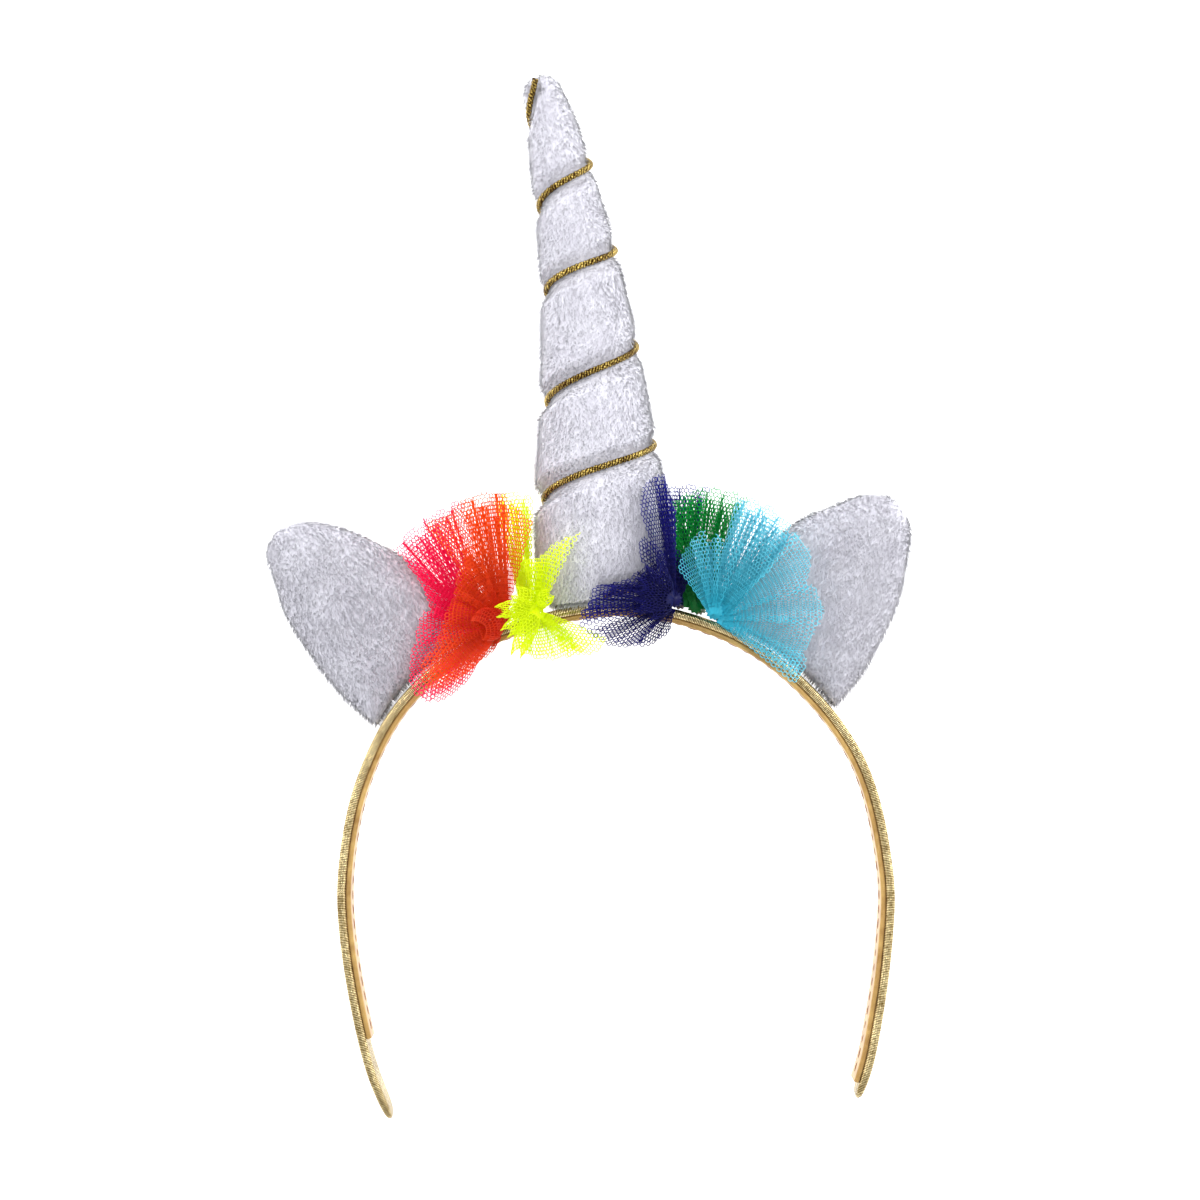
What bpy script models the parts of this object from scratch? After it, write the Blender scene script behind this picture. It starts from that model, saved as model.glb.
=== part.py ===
"""Unicorn horn headband, lying on its back: a lame-covered hoop with a tape lining, a plush horn
wound with gold cord, two plush ears and six gathered puffs of tulle. Metres, +Z up.

The pieces are modelled with the hoop's plane as XY: X across the head, Y up towards the horn's
tip, Z towards the front, and the crown of the hoop's centre line at zero. One empty then lays
them down on the floor."""

import math

import bmesh
import bpy
from mathutils import Matrix, Vector
from mathutils.bvhtree import BVHTree

MM = 0.001

# The hoop, measured on its centre line
HOOP_HALF_SPAN = 68.0 * MM
HOOP_DROP = 127.6 * MM
HOOP_WIDTH = 10.0 * MM
HOOP_THICK = 2.2 * MM
HOOP_ROUNDING = 0.7 * MM
HOOP_STEP = 5.0 * MM
HOOP_SAMPLES = 24
TIP_TAPER = 13.0 * MM
TIP_SHARE = 0.34
TIP_STATIONS = [0.04, 0.14, 0.55]

# The tape glued inside the hoop
LINING_WIDTH = 8.4 * MM
LINING_THICK = 1.0 * MM
LINING_FLAT = 6.0 * MM
LINING_EDGE = 0.45 * MM
LINING_SHORT_LEFT = 21.0 * MM
LINING_SHORT_RIGHT = 4.0 * MM

GLUE_GAP = 0.3 * MM

# The stuffed horn
HORN_HEIGHT = 131.5 * MM
HORN_RADIUS = 17.2 * MM
HORN_AT = -3.0 * MM
HORN_SIDES = 22
HORN_RINGS = 82
BASE_RINGS = 4
HORN_FLATTENED = 0.9 * MM
HORN_SETTLE = 0.08
AXIS_STEP = 0.01
PINCH_DEPTH = 3.3 * MM
PINCH_REACH = 4.6 * MM
PINCH_AT_TIP = 0.3
CORD_RADIUS = 0.85 * MM
CORD_GAP = 0.42 * MM
CORD_STEP = 3.4 * MM
CORD_SAMPLES = 64
CORD_EASE_SAMPLES = 5

# The ears
EAR_BASE = 34.0 * MM
EAR_HEIGHT = 51.5 * MM
EAR_THICK = 12.0 * MM
EAR_LEFT_AT = -52.0 * MM
EAR_RIGHT_AT = 45.5 * MM
EAR_SEGMENTS = 28
EAR_RINGS = 10
EAR_SAMPLES = 8

# The tulle
PUFF_REACH = 30.0 * MM
PUFF_STALK = 2.0 * MM
STALK_SIDES = 8
TULLE_WALL = 1.3 * MM
FOLD_DEPTH = 1.3 * MM

SMOOTH_ANGLE = 60
MERGE_WITHIN = 0.01 * MM

# Rows from the left tip over the crown to the right tip
HOOP_PATH = [  # across, share of HOOP_HALF_SPAN; down, share of HOOP_DROP
    (-0.826, 1.000),
    (-0.906, 0.889),
    (-0.992, 0.654),
    (-1.000, 0.517),
    (-0.935, 0.340),
    (-0.779, 0.184),
    (-0.497, 0.066),
    (0.000, 0.000),
    (0.382, 0.043),
    (0.660, 0.138),
    (0.896, 0.301),
    (0.997, 0.517),
    (0.994, 0.654),
    (0.934, 0.870),
    (0.885, 0.960),
]

# Rows from the base to the tip
HORN_AXIS = [  # up, share of HORN_HEIGHT; lean to the left, share of HORN_HEIGHT
    (0.00, 0.000),
    (0.16, 0.005),
    (0.33, 0.015),
    (0.50, 0.029),
    (0.66, 0.050),
    (0.83, 0.083),
    (0.91, 0.100),
    (0.96, 0.114),
    (1.00, 0.124),
]
HORN_FORM = [  # up, share of HORN_HEIGHT; radius, share of HORN_RADIUS
    (0.000, 0.72),
    (0.012, 0.84),
    (0.035, 0.93),
    (0.080, 0.99),
    (0.140, 1.00),
    (0.220, 0.97),
    (0.330, 0.87),
    (0.450, 0.77),
    (0.590, 0.655),
    (0.720, 0.555),
    (0.850, 0.455),
    (0.940, 0.360),
    (0.985, 0.280),
    (1.000, 0.160),
]
# Rows down the horn: whole turns lie on its right, half turns on its left
CORD_WINDING = [  # turns from its right at the tip; up, share of HORN_HEIGHT
    (0.28, 0.985),
    (0.50, 0.925),
    (1.00, 0.822),
    (1.50, 0.758),
    (2.00, 0.657),
    (2.50, 0.597),
    (3.00, 0.478),
    (3.50, 0.384),
    (4.00, 0.293),
    (4.50, 0.197),
    (5.00, 0.050),
    (5.25, 0.010),
]
PINCH_ROUND = [  # degrees round the horn from its right over its front; share of PINCH_DEPTH
    (-90, 1.22),
    (-45, 0.80),
    (0, 0.55),
    (45, 0.55),
    (90, 0.66),
    (135, 0.89),
    (180, 1.00),
    (225, 1.24),
    (270, 1.22),
]

# Rows round the free edge, from the crown side over the tip to the leg side
EAR_LEFT_EDGE = [  # along the hoop, share of EAR_BASE; out, share of EAR_HEIGHT
    (-0.45, 0.00),
    (-0.46, 0.16),
    (-0.42, 0.35),
    (-0.33, 0.54),
    (-0.22, 0.74),
    (-0.08, 0.94),
    (0.03, 1.00),
    (0.13, 0.96),
    (0.19, 0.85),
    (0.27, 0.70),
    (0.36, 0.45),
    (0.45, 0.22),
    (0.49, 0.00),
]
EAR_RIGHT_EDGE = [
    (-0.47, 0.00),
    (-0.50, 0.16),
    (-0.48, 0.42),
    (-0.41, 0.61),
    (-0.30, 0.76),
    (-0.21, 0.89),
    (-0.10, 0.955),
    (0.03, 0.91),
    (0.12, 0.79),
    (0.26, 0.58),
    (0.36, 0.37),
    (0.45, 0.15),
    (0.47, 0.00),
]
EAR_MIDDLE = (0.0, 0.42)
EAR_FOOT = [0.25, 0.0, -0.25]

# Petals of each puff, one row a petal: angles run from the crown's right over its top to the left
# and below, reaches are shares of PUFF_REACH, root and rim are heights above the hoop's middle
# plane in shares of HOOP_WIDTH, folds counts the pleats
PETAL_COLUMNS = "start end reach_start reach_middle reach_end root rim folds".split()
TULLE = {
    "pink": {
        "foot": (-33.6 * MM, 0.05),
        "head": (-32.4 * MM, 0.80),
        "petals": [
            (99, 140, 1.02, 0.99, 0.96, 0.55, 0.98, 4),
            (168, 199, 0.50, 0.54, 0.58, 0.74, 1.04, 2),
            (202, 260, 0.66, 0.76, 0.30, 0.70, 0.96, 3),
        ],
    },
    "orange": {
        "foot": (-28.6 * MM, 0.25),
        "head": (-27.2 * MM, 1.32),
        "petals": [
            (73, 120, 0.82, 1.02, 0.97, 1.05, 1.46, 4),
            (206, 244, 0.70, 0.83, 0.34, 1.12, 1.45, 3),
        ],
    },
    "yellow": {
        "foot": (-22.6 * MM, 0.20),
        "head": (-18.6 * MM, 1.55),
        "petals": [
            (87, 108, 0.92, 0.98, 0.94, 0.38, 0.30, 2),
            (60, 108, 0.68, 0.48, 0.34, 1.45, 1.92, 2),
            (176, 246, 0.26, 0.29, 0.36, 1.40, 1.62, 2),
            (252, 333, 0.40, 0.46, 0.61, 1.30, 1.50, 3),
        ],
    },
    "blue": {
        "foot": (15.4 * MM, 0.25),
        "head": (13.2 * MM, 1.55),
        "petals": [
            (89, 110, 0.72, 1.02, 0.78, 1.35, 1.74, 1),
            (158, 197, 0.32, 0.66, 0.78, 1.50, 2.10, 2),
            (201, 262, 0.70, 0.44, 0.25, 1.35, 1.60, 2),
            (74, 94, 0.97, 0.98, 0.95, 0.30, 0.20, 2),
        ],
    },
    "green": {
        "foot": (20.2 * MM, 0.00),
        "head": (18.9 * MM, 0.78),
        "petals": [
            (64, 104, 0.98, 0.98, 0.86, 0.55, 0.86, 4),
        ],
    },
    "aqua": {
        "foot": (25.6 * MM, 0.15),
        "head": (23.4 * MM, 1.28),
        "petals": [
            (42, 79, 0.90, 0.97, 0.96, 1.00, 1.34, 3),
            (84, 117, 0.64, 0.61, 0.70, 1.20, 1.48, 3),
            (-40, 20, 0.86, 0.78, 0.52, 1.00, 1.12, 3),
        ],
    },
}
PETAL_ROWS = [0.055, 0.52, 1.00]
PETAL_ARCH = 0.8
COLUMNS_PER_FOLD = 4

MATERIALS = {  # red, green, blue, roughness, metallic
    "gold": (0.62, 0.42, 0.11, 0.32, 0.9),
    "tan": (0.60, 0.45, 0.22, 0.6, 0.0),
    "cord": (0.66, 0.45, 0.08, 0.3, 0.9),
    "plush": (0.86, 0.85, 0.90, 0.95, 0.0),
    "pink": (1.0, 0.08, 0.22, 0.7, 0.0),
    "orange": (1.0, 0.16, 0.02, 0.7, 0.0),
    "yellow": (0.88, 1.0, 0.05, 0.7, 0.0),
    "blue": (0.03, 0.04, 0.50, 0.7, 0.0),
    "green": (0.02, 0.55, 0.12, 0.7, 0.0),
    "aqua": (0.22, 0.72, 0.84, 0.7, 0.0),
}


def between(rows, value):
    """The second column of rows at a value of the first, eased through the rows."""
    rows = sorted(rows)
    value = min(max(value, rows[0][0]), rows[-1][0])
    for i in range(len(rows) - 1):
        if value <= rows[i + 1][0]:
            break
    (x0, y0), (x1, y1) = rows[i], rows[i + 1]
    before = rows[max(i - 1, 0)]
    after = rows[min(i + 2, len(rows) - 1)]
    slope0 = (y1 - before[1]) / (x1 - before[0])
    slope1 = (after[1] - y0) / (after[0] - x0)
    t = (value - x0) / (x1 - x0)
    span = x1 - x0
    return (
        y0 * (2 * t**3 - 3 * t**2 + 1)
        + slope0 * span * (t**3 - 2 * t**2 + t)
        + y1 * (3 * t**2 - 2 * t**3)
        + slope1 * span * (t**3 - t**2)
    )


def smooth_line(points, per_span, closed=False):
    """Points on a centripetal Catmull-Rom curve through the given points."""
    if closed:
        ring = [points[-1], *points, points[0], points[1]]
    else:
        first = tuple(2 * a - b for a, b in zip(points[0], points[1]))
        last = tuple(2 * a - b for a, b in zip(points[-1], points[-2]))
        ring = [first, *points, last]
    line = []
    for i in range(1, len(ring) - 2):
        p = [Vector(q) for q in ring[i - 1 : i + 3]]
        knots = [0.0]
        for a, b in zip(p, p[1:]):
            knots.append(knots[-1] + max((b - a).length, 1e-9) ** 0.5)
        k0, k1, k2, k3 = knots
        for step in range(per_span):
            k = k1 + (k2 - k1) * step / per_span
            a1 = p[0].lerp(p[1], (k - k0) / (k1 - k0))
            a2 = p[1].lerp(p[2], (k - k1) / (k2 - k1))
            a3 = p[2].lerp(p[3], (k - k2) / (k3 - k2))
            b1 = a1.lerp(a2, (k - k0) / (k2 - k0))
            b2 = a2.lerp(a3, (k - k1) / (k3 - k1))
            line.append(b1.lerp(b2, (k - k1) / (k2 - k1)))
    if not closed:
        line.append(Vector(points[-1]))
    return line


class Hoop:
    """The hoop's centre line, read by the distance along it from the crown, negative leftwards."""

    def __init__(self):
        rows = [(across * HOOP_HALF_SPAN, -down * HOOP_DROP) for across, down in HOOP_PATH]
        self.line = smooth_line(rows, HOOP_SAMPLES)
        crown = min(range(len(self.line)), key=lambda i: self.line[i].length)
        self.reach = [0.0]
        for a, b in zip(self.line, self.line[1:]):
            self.reach.append(self.reach[-1] + (b - a).length)
        at_crown = self.reach[crown]
        self.reach = [d - at_crown for d in self.reach]
        self.left = self.reach[0]
        self.right = self.reach[-1]

    def at(self, along):
        """The point at this distance and the direction out of the arch there."""
        along = min(max(along, self.left), self.right)
        i = next(k for k in range(len(self.reach) - 1) if along <= self.reach[k + 1])
        a, b = self.line[i], self.line[i + 1]
        share = (along - self.reach[i]) / (self.reach[i + 1] - self.reach[i])
        ahead = self.tangent(i).lerp(self.tangent(i + 1), share).normalized()
        return a.lerp(b, share), Vector((-ahead.y, ahead.x))

    def tangent(self, i):
        a = self.line[max(i - 1, 0)]
        b = self.line[min(i + 1, len(self.line) - 1)]
        return (b - a).normalized()

    def off(self, along, out, front=0.0):
        """A point out from the centre line by this much and in front of its plane by that."""
        point, outwards = self.at(along)
        point = point + outwards * out
        return Vector((point.x, point.y, front))


HOOP = Hoop()
OUTER_FACE = HOOP_THICK / 2 + GLUE_GAP


def plain_material(name):
    """A material with the colour, roughness and metallic value of one row of MATERIALS."""
    red, green, blue, roughness, metallic = MATERIALS[name]
    material = bpy.data.materials.new(name)
    material.use_nodes = True
    shader = material.node_tree.nodes["Principled BSDF"]
    shader.inputs["Base Color"].default_value = (red, green, blue, 1.0)
    shader.inputs["Roughness"].default_value = roughness
    shader.inputs["Metallic"].default_value = metallic
    return material


def clear_scene():
    for old in list(bpy.data.objects):
        bpy.data.objects.remove(old, do_unlink=True)


def add_collection(name, helper=False):
    collection = bpy.data.collections.new(name)
    bpy.context.scene.collection.children.link(collection)
    collection.hide_render = helper
    return collection


def add_helper(name, data, helpers):
    """An object that shapes another one and is not a piece itself."""
    helper = bpy.data.objects.new(name, data)
    helper.hide_render = True
    helper.display_type = "WIRE"
    helpers.objects.link(helper)
    return helper


def add_piece(name, data, material, pieces, frame, smooth_angle=None):
    """A piece of the headband, laid down with the others by the frame empty."""
    piece = bpy.data.objects.new(name, data)
    piece.data.materials.clear()
    piece.data.materials.append(plain_material(material))
    piece.parent = frame
    pieces.objects.link(piece)
    if smooth_angle:
        data.shade_smooth()
        data.set_sharp_from_angle(angle=math.radians(smooth_angle))
    return piece


def flat_profile(name, corners, helpers):
    """A closed outline that a band curve carries along its path."""
    curve = bpy.data.curves.new(name, "CURVE")
    curve.dimensions = "2D"
    spline = curve.splines.new("POLY")
    spline.points.add(len(corners) - 1)
    for point, (x, y) in zip(spline.points, reversed(corners)):
        point.co = (x, y, 0.0, 1.0)
    spline.use_cyclic_u = True
    return add_helper(name, curve, helpers)


def band_curve(name, path, profile):
    """A flat strip along a plane path of (point, share of the profile's size)."""
    curve = bpy.data.curves.new(name, "CURVE")
    curve.dimensions = "2D"
    curve.fill_mode = "NONE"
    curve.bevel_mode = "OBJECT"
    curve.bevel_object = profile
    curve.use_fill_caps = True
    spline = curve.splines.new("POLY")
    spline.points.add(len(path) - 1)
    for point, (place, share) in zip(spline.points, path):
        point.co = (place.x, place.y, 0.0, 1.0)
        point.radius = share
    return curve


def stations(start, end, step):
    """Distances from start to end, evenly apart, with the crown midway between two of them."""
    first = math.ceil(start / step - 0.5)
    last = math.floor(end / step - 0.5)
    inner = [(k + 0.5) * step for k in range(first, last + 1)]
    inner = [d for d in inner if start + step / 3 < d < end - step / 3]
    return [start, *inner, end]


def build_hoop(pieces, helpers, frame):
    """The hoop: a rounded flat strip that thins to a blunt blade at each tip."""
    half_thick = HOOP_THICK / 2
    half_width = HOOP_WIDTH / 2
    inner_thick = half_thick - HOOP_ROUNDING
    inner_width = half_width - HOOP_ROUNDING
    corners = [
        (half_thick, -inner_width),
        (half_thick, inner_width),
        (inner_thick, half_width),
        (-inner_thick, half_width),
        (-half_thick, inner_width),
        (-half_thick, -inner_width),
        (-inner_thick, -half_width),
        (inner_thick, -half_width),
    ]
    profile = flat_profile("hoop_profile", corners, helpers)
    path = []
    distances = stations(HOOP.left, HOOP.right, HOOP_STEP)
    for end in (HOOP.left, HOOP.right):
        sign = 1.0 if end < 0 else -1.0
        distances += [end + sign * TIP_TAPER * share for share in TIP_STATIONS]
    for along in sorted(distances):
        path.append((HOOP.at(along)[0], tip_share(along)))
    curve = band_curve("band_curve", path, profile)
    return add_piece("band", curve, "gold", pieces, frame)


def build_lining(pieces, helpers, frame):
    """The tape inside the hoop: flat where it meets the head, thinner at both edges."""
    half = LINING_THICK / 2
    corners = [
        (-half, LINING_WIDTH / 2),
        (-half, -LINING_WIDTH / 2),
        (LINING_EDGE - half, -LINING_WIDTH / 2),
        (half, -LINING_FLAT / 2),
        (half, LINING_FLAT / 2),
        (LINING_EDGE - half, LINING_WIDTH / 2),
    ]
    profile = flat_profile("lining_profile", corners, helpers)
    inwards = OUTER_FACE + LINING_THICK / 2
    start = HOOP.left + LINING_SHORT_LEFT
    end = HOOP.right - LINING_SHORT_RIGHT
    path = [(HOOP.off(along, -inwards), 1.0) for along in stations(start, end, HOOP_STEP)]
    curve = band_curve("lining_curve", path, profile)
    return add_piece("band_lining", curve, "tan", pieces, frame)


def horn_axis(share):
    """The point of the horn's axis at this share of its height, and its direction there."""
    low = max(share - AXIS_STEP, 0.0)
    high = min(share + AXIS_STEP, 1.0)
    lean = between(HORN_AXIS, share)
    bend = (between(HORN_AXIS, high) - between(HORN_AXIS, low)) / (high - low)
    along = Vector((-bend, 1.0, 0.0)).normalized()
    foot = HOOP.off(HORN_AT, OUTER_FACE)
    return foot + Vector((-lean, share, 0.0)) * HORN_HEIGHT, along


def pinch(share, angle):
    """How far the cord draws the plush in at this height and angle round the horn."""
    size = between(HORN_FORM, share)
    side = between(PINCH_ROUND, (math.degrees(angle) + 90) % 360 - 90)
    depth = PINCH_DEPTH * side * (PINCH_AT_TIP + (1 - PINCH_AT_TIP) * size)
    turns = angle / math.tau
    turns -= math.floor(turns)
    nearest = 1.0
    first = CORD_WINDING[0][0]
    last = CORD_WINDING[-1][0]
    if turns < first:
        turns += 1.0
    while turns <= last:
        away = abs(share - between(CORD_WINDING, turns)) * HORN_HEIGHT / PINCH_REACH
        nearest = min(nearest, away)
        turns += 1.0
    return depth * (1 - nearest**2) ** 2


def horn_surface(share, angle, size):
    """A point on the plush at this height and angle, with the profile's own radius there. The
    base follows the curve of the hoop that it is seated on."""
    place, along = horn_axis(share)
    right = Vector((along.y, -along.x, 0.0))
    radius = max(size - pinch(share, angle), 0.0) if size else 0.0
    place += right * radius * math.cos(angle) + Vector((0, 0, radius * math.sin(angle)))
    settle = max(0.0, 1.0 - share / HORN_SETTLE) ** 2
    seated = HOOP.off(place.x, OUTER_FACE).y + share * HORN_HEIGHT
    place.y += settle * (seated - place.y)
    return place


def build_horn(pieces, helpers, frame):
    """The stuffed horn: turned, then drawn in along the cord, leant, and seated on the hoop. Its
    back is flat where it lies on the floor."""
    shares = [i / HORN_RINGS for i in range(HORN_RINGS + 1)]
    profile = bpy.data.meshes.new("horn_profile")
    base = [HORN_FORM[0][1] * HORN_RADIUS * k / BASE_RINGS for k in range(BASE_RINGS)]
    heights = [1.0, *reversed(shares), *(0.0 for _ in base)]
    sides = [between(HORN_FORM, share) * HORN_RADIUS for share in reversed(shares)]
    radii = [0.0, *sides, *reversed(base)]
    rows = [(radius, 0.0, share * HORN_HEIGHT) for radius, share in zip(radii, heights)]
    profile.from_pydata(rows, [(i, i + 1) for i in range(len(rows) - 1)], [])
    turned = add_helper("horn_turned", profile, helpers)
    screw = turned.modifiers.new("turn", "SCREW")
    screw.steps = HORN_SIDES
    screw.render_steps = HORN_SIDES
    screw.use_merge_vertices = True
    screw.merge_threshold = MERGE_WITHIN
    graph = bpy.context.evaluated_depsgraph_get()
    mesh = bpy.data.meshes.new_from_object(turned.evaluated_get(graph))
    bpy.data.objects.remove(turned)
    lie = lie_angle()
    up = floor_up(lie)
    floor = horn_low(lie)
    for vertex in mesh.vertices:
        x, y, z = vertex.co
        place = horn_surface(z / HORN_HEIGHT, math.atan2(-y, x), math.hypot(x, y))
        vertex.co = place + up * max(0.0, floor - place.dot(up))
    return add_piece("horn", mesh, "plush", pieces, frame, SMOOTH_ANGLE)


def floor_up(lie):
    """The floor's upward direction as the pieces' own frame has it, when they lie at this angle."""
    return Vector((0.0, math.sin(lie), math.cos(lie)))


def horn_low(lie):
    """Where the floor meets the horn's back, which its own weight flattens a little."""
    lowest = 0.0
    for i in range(HORN_RINGS + 1):
        share = i / HORN_RINGS
        size = between(HORN_FORM, share) * HORN_RADIUS
        back = horn_surface(share, -math.pi / 2, size)
        lowest = min(lowest, back.dot(floor_up(lie)))
    return lowest + HORN_FLATTENED


def tip_share(along):
    """What is left of the hoop's width and thickness at this distance, as it nears a tip."""
    to_tip = min(along - HOOP.left, HOOP.right - along)
    short = max(0.0, 1.0 - to_tip / TIP_TAPER)
    return TIP_SHARE + (1 - TIP_SHARE) * math.sqrt(1 - short**4)


def tip_low(lie):
    """How low the hoop's longer leg reaches at this angle."""
    lowest = 0.0
    for i in range(9):
        along = HOOP.left + TIP_TAPER * i / 4
        back = HOOP.off(along, 0.0, -tip_share(along) * HOOP_WIDTH / 2)
        lowest = min(lowest, back.dot(floor_up(lie)))
    return lowest


def lie_angle():
    """The angle at which the horn's back and the longer leg's tip touch one floor."""
    low = 0.0
    high = math.radians(30.0)
    for _ in range(40):
        middle = (low + high) / 2
        if horn_low(middle) < tip_low(middle):
            low = middle
        else:
            high = middle
    return (low + high) / 2


def build_cord(horn, pieces, frame):
    """The cord wound round the horn, laid in its groove from the tip to the base."""
    horn.data.calc_loop_triangles()
    plush = BVHTree.FromPolygons(
        [vertex.co for vertex in horn.data.vertices],
        [triangle.vertices for triangle in horn.data.loop_triangles],
        all_triangles=True,
    )
    first = CORD_WINDING[0][0]
    last = CORD_WINDING[-1][0]
    count = int((last - first) * CORD_SAMPLES)
    clear = CORD_RADIUS + CORD_GAP
    rows = []
    for i in range(count + 1):
        turns = first + (last - first) * i / count
        share = between(CORD_WINDING, turns)
        angle = turns * math.tau
        size = between(HORN_FORM, share) * HORN_RADIUS
        lift = 0.0
        while lift < 2 * clear:
            place = horn_surface(share, angle, size + lift)
            near, outwards, _, _ = plush.find_nearest(place)
            away = place - near
            if away.length > clear and away.dot(outwards) > 0:
                break
            lift += CORD_RADIUS / 8
        rows.append((share, angle, size, lift))
    fine = []
    for i, (share, angle, size, _) in enumerate(rows):
        near = [row[3] for row in rows[max(i - CORD_EASE_SAMPLES, 0) : i + CORD_EASE_SAMPLES + 1]]
        fine.append(horn_surface(share, angle, size + max(near)))
    path = [fine[0]]
    for place in fine:
        if (place - path[-1]).length > CORD_STEP:
            path.append(place)
    curve = bpy.data.curves.new("horn_cord", "CURVE")
    curve.dimensions = "3D"
    curve.bevel_depth = CORD_RADIUS
    curve.bevel_resolution = 1
    curve.use_fill_caps = True
    spline = curve.splines.new("POLY")
    spline.points.add(len(path) - 1)
    for point, place in zip(spline.points, path):
        point.co = (*place, 1.0)
    return add_piece("horn_cord", curve, "cord", pieces, frame)


def build_ear(name, along, away, edge, pieces, frame):
    """A flat stuffed lobe that stands on the hoop and follows it with its base."""
    base = [(share, 0.0) for share in EAR_FOOT]
    loop = [(a, b, 0.0) for a, b in (*edge, *base)]
    outline = smooth_line(loop, EAR_SAMPLES, closed=True)
    shape = bmesh.new()
    bmesh.ops.create_uvsphere(
        shape, u_segments=EAR_SEGMENTS, v_segments=EAR_RINGS, radius=1.0
    )
    for vertex in shape.verts:
        x, y, z = vertex.co
        spread = min(math.hypot(x, y), 1.0)
        turn = math.atan2(y, x) / math.tau % 1.0
        place = turn * len(outline)
        low = int(place) % len(outline)
        rim = outline[low].lerp(outline[(low + 1) % len(outline)], place - int(place))
        share_along = EAR_MIDDLE[0] + (rim.x - EAR_MIDDLE[0]) * spread
        share_out = max(EAR_MIDDLE[1] + (rim.y - EAR_MIDDLE[1]) * spread, 0.0)
        front = math.copysign(EAR_THICK / 2 * math.sqrt(1 - spread**4), z)
        distance = along + away * share_along * EAR_BASE
        vertex.co = HOOP.off(distance, OUTER_FACE + share_out * EAR_HEIGHT, front)
    bmesh.ops.recalc_face_normals(shape, faces=shape.faces)
    mesh = bpy.data.meshes.new(name)
    shape.to_mesh(mesh)
    shape.free()
    return add_piece(name, mesh, "plush", pieces, frame, SMOOTH_ANGLE)


def puff_axis(puff):
    """The two ends of a puff's gathered stalk, which stands on the hoop and points forwards."""
    out = OUTER_FACE + PUFF_STALK
    ends = []
    for along, height in (puff["foot"], puff["head"]):
        ends.append(HOOP.off(along, out, height * HOOP_WIDTH))
    return ends


def build_petal(name, foot, head, row, helpers):
    """One pleated sheet that fans out of the stalk."""
    petal = dict(zip(PETAL_COLUMNS, row))
    columns = petal["folds"] * COLUMNS_PER_FOLD
    root_z = petal["root"] * HOOP_WIDTH
    rim_z = petal["rim"] * HOOP_WIDTH
    climb = (root_z - foot.z) / (head.z - foot.z)
    root = foot.lerp(head, climb)
    shape = bmesh.new()
    grid = []
    for rise in PETAL_ROWS:
        line = []
        for i in range(columns + 1):
            t = i / columns
            angle = math.radians(petal["start"] + (petal["end"] - petal["start"]) * t)
            bow = 4 * t * (1 - t)
            ends = petal["reach_start"] * (1 - t) + petal["reach_end"] * t
            middle = (petal["reach_start"] + petal["reach_end"]) / 2
            reach = (ends + bow * (petal["reach_middle"] - middle)) * PUFF_REACH
            fold = math.cos(t * petal["folds"] * math.tau) * FOLD_DEPTH * rise
            z = root_z + (rim_z - root_z) * rise**PETAL_ARCH + fold
            x = root.x + math.cos(angle) * reach * rise
            y = root.y + math.sin(angle) * reach * rise
            line.append(shape.verts.new((x, y, z)))
        grid.append(line)
    for low, high in zip(grid, grid[1:]):
        for i in range(columns):
            shape.faces.new((low[i], low[i + 1], high[i + 1], high[i]))
    extruded = bmesh.ops.extrude_face_region(
        shape, geom=list(shape.faces), use_keep_orig=True
    )
    for item in extruded["geom"]:
        if isinstance(item, bmesh.types.BMVert):
            item.co.z -= TULLE_WALL
    bmesh.ops.recalc_face_normals(shape, faces=shape.faces)
    mesh = bpy.data.meshes.new(name)
    shape.to_mesh(mesh)
    shape.free()
    return add_helper(name, mesh, helpers)


def build_puff(colour, puff, pieces, helpers, frame):
    """One gathered puff: its pleated sheets joined to the stalk that they are drawn into."""
    foot, head = puff_axis(puff)
    stalk_mesh = bpy.data.meshes.new("tulle_" + colour)
    shape = bmesh.new()
    middle = (foot + head) / 2
    turn = (head - foot).to_track_quat("Z", "Y").to_matrix().to_4x4()
    bmesh.ops.create_cone(
        shape,
        cap_ends=True,
        segments=STALK_SIDES,
        radius1=PUFF_STALK,
        radius2=PUFF_STALK,
        depth=(head - foot).length,
        matrix=Matrix.Translation(middle) @ turn,
    )
    shape.to_mesh(stalk_mesh)
    shape.free()
    piece = add_piece("tulle_" + colour, stalk_mesh, colour, pieces, frame)
    for number, row in enumerate(puff["petals"]):
        sheet = build_petal(f"{colour}_petal_{number + 1}", foot, head, row, helpers)
        sheet.parent = frame
        join = piece.modifiers.new(f"join_{number + 1}", "BOOLEAN")
        join.operation = "UNION"
        join.solver = "EXACT"
        join.object = sheet
    return piece


def lay_down(frame, pieces):
    """Turns the headband onto its back and puts the middle of its footprint at the origin."""
    frame.rotation_euler = (lie_angle(), 0.0, 0.0)
    bpy.context.view_layer.update()
    graph = bpy.context.evaluated_depsgraph_get()
    low = Vector((1.0, 1.0, 1.0))
    high = Vector((-1.0, -1.0, -1.0))
    for piece in pieces.objects:
        if piece.type not in ("MESH", "CURVE"):
            continue
        evaluated = piece.evaluated_get(graph)
        mesh = evaluated.to_mesh()
        for vertex in mesh.vertices:
            place = evaluated.matrix_world @ vertex.co
            low = Vector(map(min, low, place))
            high = Vector(map(max, high, place))
        evaluated.to_mesh_clear()
    frame.location = (-(low.x + high.x) / 2, -(low.y + high.y) / 2, -low.z)


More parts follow.
